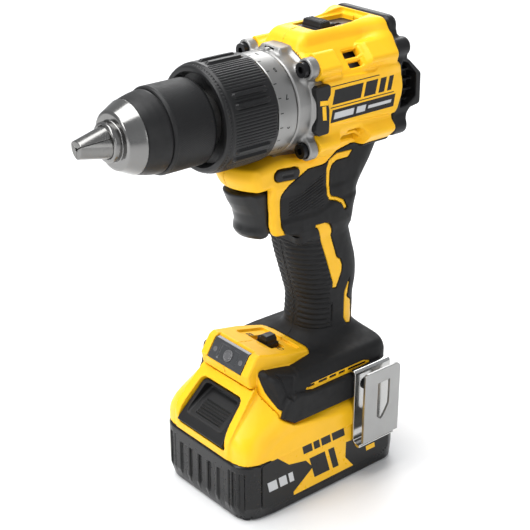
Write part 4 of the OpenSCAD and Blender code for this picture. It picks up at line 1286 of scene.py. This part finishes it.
def finish(name, color, rough, metallic=0.0, spread=0.08, uneven=0.05, grain=0.0, grain_mm=0.5,
           lines=None, line_depth=0.0, shine=0.5):
    """Procedural material: mottled colour and roughness, fine grain, and tool or brush lines."""
    material = bpy.data.materials.new(name)
    material.use_nodes = True
    tree = material.node_tree
    tree.nodes.clear()
    place = add_node(tree, "ShaderNodeTexCoord").outputs["Object"]
    broad = noise(tree, place, MOTTLE_MM, 4)
    dark = tuple(c * (1 - spread) for c in color) + (1,)
    light = tuple(min(1, c * (1 + spread)) for c in color) + (1,)
    tint = add_node(tree, "ShaderNodeMix", data_type="RGBA")
    tree.links.new(remap(tree, broad, 0, 1), tint.inputs["Factor"])
    tint.inputs[MIX_A].default_value = dark
    tint.inputs[MIX_B].default_value = light
    fine = noise(tree, place, grain_mm, 3)
    height = fine
    polish = remap(tree, noise(tree, place, POLISH_MM, 4), rough - uneven, rough + uneven)
    depth = grain
    if lines is not None:
        if lines == "turned":
            guide = round_axis(tree, place)
        else:
            guide = stretched(tree, place, lines)
        streak = noise(tree, guide, STREAK_MM, 2)
        both_heights = add_node(tree, "ShaderNodeMath", [(0, streak), (1, fine)], operation="ADD")
        height = both_heights.outputs["Value"]
        polish = remap(tree, streak, rough - uneven, rough + uneven)
        depth = max(grain, line_depth)
    shader = add_node(tree, "ShaderNodeBsdfPrincipled",
                      [("Base Color", tint.outputs[MIX_RESULT]), ("Roughness", polish),
                       ("Metallic", metallic), ("Specular IOR Level", shine)])
    if depth > 0:
        values = [("Height", height), ("Strength", 1.0), ("Distance", depth * MM)]
        bump = add_node(tree, "ShaderNodeBump", values)
        tree.links.new(bump.outputs["Normal"], shader.inputs["Normal"])
    add_node(tree, "ShaderNodeOutputMaterial", [("Surface", shader.outputs["BSDF"])])
    return material


def plastics():
    return {
        "yellow": finish("yellow_nylon", (0.96, 0.52, 0.008), 0.42, spread=0.03, grain=0.012,
                         shine=0.35),
        "yellow_pack": finish("yellow_pack", (0.97, 0.53, 0.008), 0.36, spread=0.03, grain=0.008,
                              shine=0.35),
        "yellow_print": finish("yellow_print", (0.95, 0.52, 0.008), 0.30, spread=0.02, shine=0.35),
        "rubber": finish("soft_grip", (0.0085, 0.0085, 0.009), 0.60, spread=0.15, grain=0.02,
                         grain_mm=0.35, shine=0.26),
        "black": finish("black_nylon", (0.0075, 0.0075, 0.008), 0.42, spread=0.12, grain=0.012,
                        shine=0.3),
        "gloss": finish("black_gloss", (0.006, 0.006, 0.0065), 0.26, spread=0.12, uneven=0.03,
                        shine=0.34),
        "collar": finish("collar_black", (0.0075, 0.0075, 0.008), 0.38, spread=0.12, grain=0.01,
                         shine=0.34),
        "sleeve": finish("sleeve_black", (0.0085, 0.0085, 0.009), 0.46, spread=0.12, grain=0.015,
                         shine=0.3),
        "trigger": finish("trigger_grey", (0.009, 0.009, 0.0095), 0.34, spread=0.1, grain=0.008,
                          shine=0.36),
        "lens": finish("smoky_lens", (0.045, 0.047, 0.05), 0.16, spread=0.06, uneven=0.03),
        "lamp": finish("lamp_glass", (0.14, 0.14, 0.145), 0.16, 0.3, spread=0.04),
    }


def prints():
    return {
        "label": finish("label_black", (0.007, 0.007, 0.0075), 0.30, spread=0.1, uneven=0.03,
                        shine=0.3),
        "ink": finish("dark_ink", (0.010, 0.010, 0.010), 0.5, spread=0.1, shine=0.3),
        "silver_ink": finish("silver_ink", (0.55, 0.56, 0.57), 0.4, spread=0.05),
    }


def metals():
    return {
        "cast": finish("cast_alloy", (0.30, 0.297, 0.29), 0.46, 0.85, spread=0.07, grain=0.05,
                       grain_mm=0.7),
        "scale": finish("scale_alloy", (0.30, 0.297, 0.29), 0.36, 0.9, spread=0.05, lines="turned",
                        line_depth=0.006),
        "chuck": finish("bright_steel", (0.22, 0.218, 0.213), 0.18, 1.0, spread=0.04,
                        lines="turned", line_depth=0.004),
        "jaw": finish("jaw_steel", (0.20, 0.198, 0.192), 0.24, 1.0, spread=0.06, lines="turned",
                      line_depth=0.004),
        "strap": finish("strap_steel", (0.50, 0.50, 0.49), 0.14, 1.0, spread=0.03,
                        lines=(1, 1, 0.05), line_depth=0.002),
        "hook": finish("hook_steel", (0.36, 0.36, 0.355), 0.36, 1.0, spread=0.04,
                       lines=(1, 1, 0.05), line_depth=0.004),
        "screw": finish("dark_screws", (0.03, 0.03, 0.032), 0.34, 0.9, spread=0.1, grain=0.01),
        "gear": finish("gear_steel", (0.38, 0.38, 0.39), 0.34, 1.0, spread=0.06,
                       lines=(1, 0.1, 0.1), line_depth=0.004),
        "spring": finish("spring_steel", (0.42, 0.42, 0.43), 0.28, 1.0, spread=0.06),
        "brass": finish("insert_brass", (0.72, 0.50, 0.18), 0.32, 1.0, spread=0.06),
    }


def electrics():
    return {
        "iron": finish("stator_iron", (0.22, 0.225, 0.24), 0.5, 0.9, spread=0.08,
                       lines=(1, 0.05, 0.05), line_depth=0.02),
        "copper": finish("copper_wire", (0.72, 0.30, 0.13), 0.34, 1.0, spread=0.08,
                         lines=(0.1, 1, 1), line_depth=0.03),
        "board": finish("circuit_board", (0.02, 0.13, 0.05), 0.42, spread=0.15, grain=0.01),
        "cell": finish("cell_wrap", (0.03, 0.20, 0.26), 0.38, spread=0.08),
    }


def make_materials():
    return {**plastics(), **prints(), **metals(), **electrics()}


CARRIED = {
    "screw": ["rear_cap_screws", "gearcase_screws", "housing_screws", "belt_hook_screw", "battery_screws",
              "chuck_screw"],
    "gear": ["ring_gear_1", "ring_gear_2", "spindle_bearing", "motor_bearings", "shift_fork",
             "clutch_nut", "spindle", "chuck_nut", "motor_shaft", "carrier_1", "planet_1a",
             "planet_1b", "planet_1c", "planet_2a", "planet_2b", "planet_2c"],
    "iron": ["motor_stator", "rotor"],
    "copper": ["stator_coils"],
    "black": ["fan", "trigger_switch", "terminal_block"],
    "brass": ["threaded_inserts"],
    "board": ["light_board", "battery_board"],
    "cell": ["battery_cells"],
}


def dress_carried(m):
    """Procedural materials on the CAD nodes that are shown as they are."""
    for key, names in CARRIED.items():
        for name in names:
            mesh = frame["nodes"][name].data
            mesh.materials.clear()
            mesh.materials.append(m[key])


# ---------------------------------------------------------------- pieces

SIDES = ("left", "right")


def build_solids(m, rows):
    """Pieces meshed from distance functions. Each stands for the CAD node of its name, if any."""
    for name, shape, low, high, pitch, material, body, slot in rows:
        nodes = [name] if name in frame["nodes"] else []
        solid(name, shape, low, high, pitch, m[material], body, nodes)


# name, shape, lowest and highest corner, pitch, material, slot
SHELL = [
    ("housing", housing, (-57, 0, 49.5), (41, 36, 250), 0.68, "yellow", "yellow_nylon"),
    ("grip", grip, (-58, 0, 49.5), (36.5, 37, 189), 0.56, "rubber", "soft_grip"),
    ("slot_inlay", slot_inlay, (-34, 31.5, 63.5), (15, 36, 69.5), 0.3, "yellow", "yellow_nylon"),
    # Black backing behind the slot's windows: painted shade in the gaps.
    ("slot_painted_shade", slot_painted_shade, (-34, 31.5, 63.5), (15, 36, 69.5), 0.4, "black", "black_nylon"),
]


def build_shell(m):
    """Left and right pieces of the housing. The slot's two pieces stand for no CAD node."""
    for name, shape, low, high, pitch, material, slot in SHELL:
        names = [f"{side}_{name}" for side in SIDES]
        nodes = [[n] if n in frame["nodes"] else [] for n in names]
        pair(names, shape, low, high, pitch, m[material], "housing", nodes)


# name, shape, lowest and highest corner, pitch, material, body, slot
HEAD = [
    ("rear_cap", rear_cap, (-71.2, -26, 184), (-50, 26, 249), 0.56, "black", "housing",
     "black_nylon"),
    ("gearcase", gearcase, (-3.2, -29.5, 183), (54, 29.5, 241), 0.56, "cast", "housing",
     "cast_alloy"),
]


def build_head(m):
    build_solids(m, HEAD)
    pair(["left_badge", "right_badge"], left_badge, (-6, 24, 199), (5, 28.8, 226), 0.3, m["black"],
         "housing", [["side_badges"], ["side_badges"]])
    marks("side_label", SIDE_LABEL, 26.32, 0.12, m["ink"], "housing")
    marks("side_label_bars", SIDE_BARS, 26.4, 0.1, m["silver_ink"], "housing")
    marks("badge_marks", BADGE_MARK, 28.35, 0.12, m["yellow_print"], "housing")


SCALE_FACE = 25.76
SCALE_STEP = 16


def build_clutch(m):
    collar = turned("clutch_collar", polyline(COLLAR, 0.8), 1080, rim_serration)
    finish_piece(collar, m["collar"], "clutch_ring", ["clutch_collar"])
    ring = turned("clutch_scale", polyline(SCALE_RING, 1.0, 0.2), 256)
    finish_piece(ring, m["scale"], "clutch_ring", ["clutch_scale"])
    parts = []
    for k in range(15):
        angle = math.radians(118 - SCALE_STEP * k)
        if k % 2 == 0:
            parts.append(wrapped_text("number", str(k + 1), 3.3, 19.0, angle, SCALE_FACE, math.pi / 2))
        tick = np.array([(22.4, -0.22), (24.2, -0.22), (24.2, 0.22), (22.4, 0.22)])
        a = angle + tick[:, 1] / SCALE_FACE
        points = np.stack([tick[:, 0], SCALE_FACE * np.cos(a), AXIS_Z + SCALE_FACE * np.sin(a)], -1)
        parts.append((points, [[0, 1, 2, 3]]))
    finish_piece(face_mesh("scale_numbers", parts), m["ink"], "clutch_ring")


def build_chuck(m):
    sleeve = turned("chuck_sleeve", polyline(SLEEVE, 0.8, 0.15), 792, sleeve_relief)
    finish_piece(sleeve, m["sleeve"], "chuck_sleeve", ["chuck_sleeve"])
    solid("chuck_body", chuck_body, (57.8, -18, 194.5), (106.6, 18, 230.7), 0.42, m["chuck"],
          "spindle", ["chuck_body"])
    for k in range(3):
        name = f"jaw_{k + 1}"
        low, high = [np.array(c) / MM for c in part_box(name)]
        solid(name, jaw(k), low - 3.2, high + 3.2, 0.25, m["jaw"], name, [name])


CONTROLS = [
    ("trigger", trigger, (7, -12, 143), (37, 12, 172), 0.5, "trigger", "trigger", "trigger_grey"),
    ("direction_button", direction_button, (4, -20, 174), (22.5, 20, 184), 0.4, "black",
     "direction_button", "black_nylon"),
    ("speed_selector", speed_selector, (-30, -8, 239.4), (-8, 8, 249.4), 0.3, "black",
     "speed_selector", "black_nylon"),
    ("light_lens", light_lens, (32, -14, 74), (42, 14, 87), 0.3, "lens", "housing", "clear_lens"),
    ("light_switch", light_switch, (6.4, -5, 72.8), (15.4, 5, 84.8), 0.25, "black",
     "light_switch", "black_nylon"),
]
FITTINGS = [
    ("control_module", control_module, (-42, -16, 68.4), (-5, 16, 73.2), 0.4, "ink", "housing",
     "black_nylon"),
    ("lamps", lamps, (31, -14, 74), (42, 14, 87), 0.3, "lamp", "housing", "clear_lens"),
    ("selector_plate", selector_plate, (-46, -8.4, 243.1), (-7, 8.4, 243.8), 0.3, "black",
     "housing", "black_nylon"),
]


def build_hook(m):
    """Belt hook with a bright strap and a brushed outer tongue."""
    hook = solid("belt_hook", belt_hook, (-44.2, 33, 20.6), (-17.8, 47, 69), 0.34, m["strap"],
                 "housing", ["belt_hook"])
    hook.data.materials.append(m["hook"])
    centres = np.zeros(len(hook.data.polygons) * 3, np.float32)
    hook.data.polygons.foreach_get("center", centres)
    on_tongue = centres[1::3] > HOOK_TONGUE_Y * MM
    hook.data.polygons.foreach_set("material_index", on_tongue.astype(np.int32))


def build_controls(m):
    build_solids(m, CONTROLS)
    finish_piece(deck_icons(), m["ink"], "housing")
    build_solids(m, FITTINGS)


BATTERY = [
    ("battery_upper_case", battery_upper, (-56.4, -36.5, 34), (56.5, 36.5, 71), 0.72,
     "yellow_pack", "battery", "yellow_nylon"),
    ("battery_lower_case", battery_lower, (-56.4, -36.5, -0.1), (56.5, 36.5, 35), 0.78, "gloss",
     "battery", "black_nylon"),
    ("battery_latch", battery_latch, (34, -18.5, 40), (60, 18.5, 63.5), 0.35, "black",
     "battery_latch", "black_nylon"),
]

# name, outlines, distance to the side, thickness, material, slot
PACK_MARKS = [
    ("label_ground", [LABEL_GROUND.tolist()], 35.95, 0.12, "label", "black_nylon"),
    ("label_field", [LABEL_YELLOW], 36.05, 0.08, "yellow_print", "yellow_nylon"),
    ("label_blocks", PACK_BLOCKS, 36.1, 0.08, "label", "black_nylon"),
    ("label_text", PACK_TEXT, 36.1, 0.08, "label", "black_nylon"),
    ("label_bars", PACK_BARS, 36.05, 0.08, "silver_ink", "black_nylon"),
    ("label_dashes", PACK_DASH, 36.05, 0.08, "yellow_print", "yellow_nylon"),
]


def build_battery(m):
    build_solids(m, BATTERY)
    for name, outlines, y, thick, material, slot in PACK_MARKS:
        marks(name, outlines, y, thick, m[material], "battery")


# name, body, joint, fixed end in mm, direction, length left when pressed
SPRINGS = [
    ("trigger_spring", "housing", "trigger_pull", (0.4, 0, TRIGGER_SPRING_Z), (1, 0, 0), 11.8 / 18.8),
    ("clutch_spring", "housing", "clutch_nut_travel", (30.3, 0, AXIS_Z), (1, 0, 0), 1.1 / 7.1),
    ("latch_spring", "battery", "latch_press", (36.1, 0, 45.9), (0.7561, 0, 0.6544), 5.3 / 8.8),
]


def build_springs(m):
    """Copies of the CAD springs in spring steel, each on its body in place of its CAD node."""
    for name, body, joint, end, axis, left in SPRINGS:
        coil = bpy.data.objects.new(name + "_coil", frame["nodes"][name].data.copy())
        coil.data.materials.clear()
        bpy.context.scene.collection.objects.link(coil)
        finish_piece(coil, m["spring"], body, [name])
        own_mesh(coil)


def make_floor():
    mesh = bpy.data.meshes.new("floor")
    mesh.from_pydata([(-9, -9, 0), (9, -9, 0), (9, 9, 0), (-9, 9, 0)], [], [(0, 1, 2, 3)])
    floor = bpy.data.objects.new("floor", mesh)
    floor.data.materials.append(finish("floor", (0.88, 0.88, 0.88), 0.55, spread=0.005, uneven=0.02))
    bpy.context.scene.collection.objects.link(floor)


def area_light(name, place, target, size, watts):
    data = bpy.data.lights.new(name, "AREA")
    data.shape = "RECTANGLE"
    data.size, data.size_y = size
    data.energy = watts
    lamp = bpy.data.objects.new(name, data)
    lamp.location = place
    lamp.rotation_euler = (Vector(target) - Vector(place)).to_track_quat("-Z", "Y").to_euler()
    bpy.context.scene.collection.objects.link(lamp)


# name, place, target, size, watts
LIGHTS = [
    ("overhead", (0.35, -0.25, 1.5), (0, 0, 0.1), (1.2, 1.2), 24),
    ("key", (1.25, -0.25, 0.8), (0, 0, 0.14), (0.5, 0.9), 9),
    ("fill", (0.1, 1.4, 0.5), (0, 0, 0.12), (0.6, 0.8), 3),
    ("rim", (-0.9, -0.8, 0.9), (0, 0, 0.15), (0.8, 0.6), 7),
]


def make_light():
    for row in LIGHTS:
        area_light(*row)


def make_world():
    """Even, slightly cool light from all round, a little brighter above."""
    world = bpy.data.worlds.new("studio")
    world.use_nodes = True
    tree = world.node_tree
    place = add_node(tree, "ShaderNodeTexCoord").outputs["Generated"]
    height = add_node(tree, "ShaderNodeSeparateXYZ", [("Vector", place)]).outputs["Z"]
    bright = remap(tree, height, 0.50, 0.55, 0.0, 0.7)
    tree.links.new(bright, tree.nodes["Background"].inputs["Strength"])
    tree.nodes["Background"].inputs["Color"].default_value = (0.95, 0.97, 1.0, 1)
    bpy.context.scene.world = world
    bpy.context.scene.view_settings.view_transform = "Standard"


def main():
    make_floor()
    make_light()
    make_world()
    m = make_materials()
    dress_carried(m)
    build_shell(m)
    build_head(m)
    build_clutch(m)
    build_chuck(m)
    build_controls(m)
    build_hook(m)
    build_battery(m)
    build_springs(m)


main()
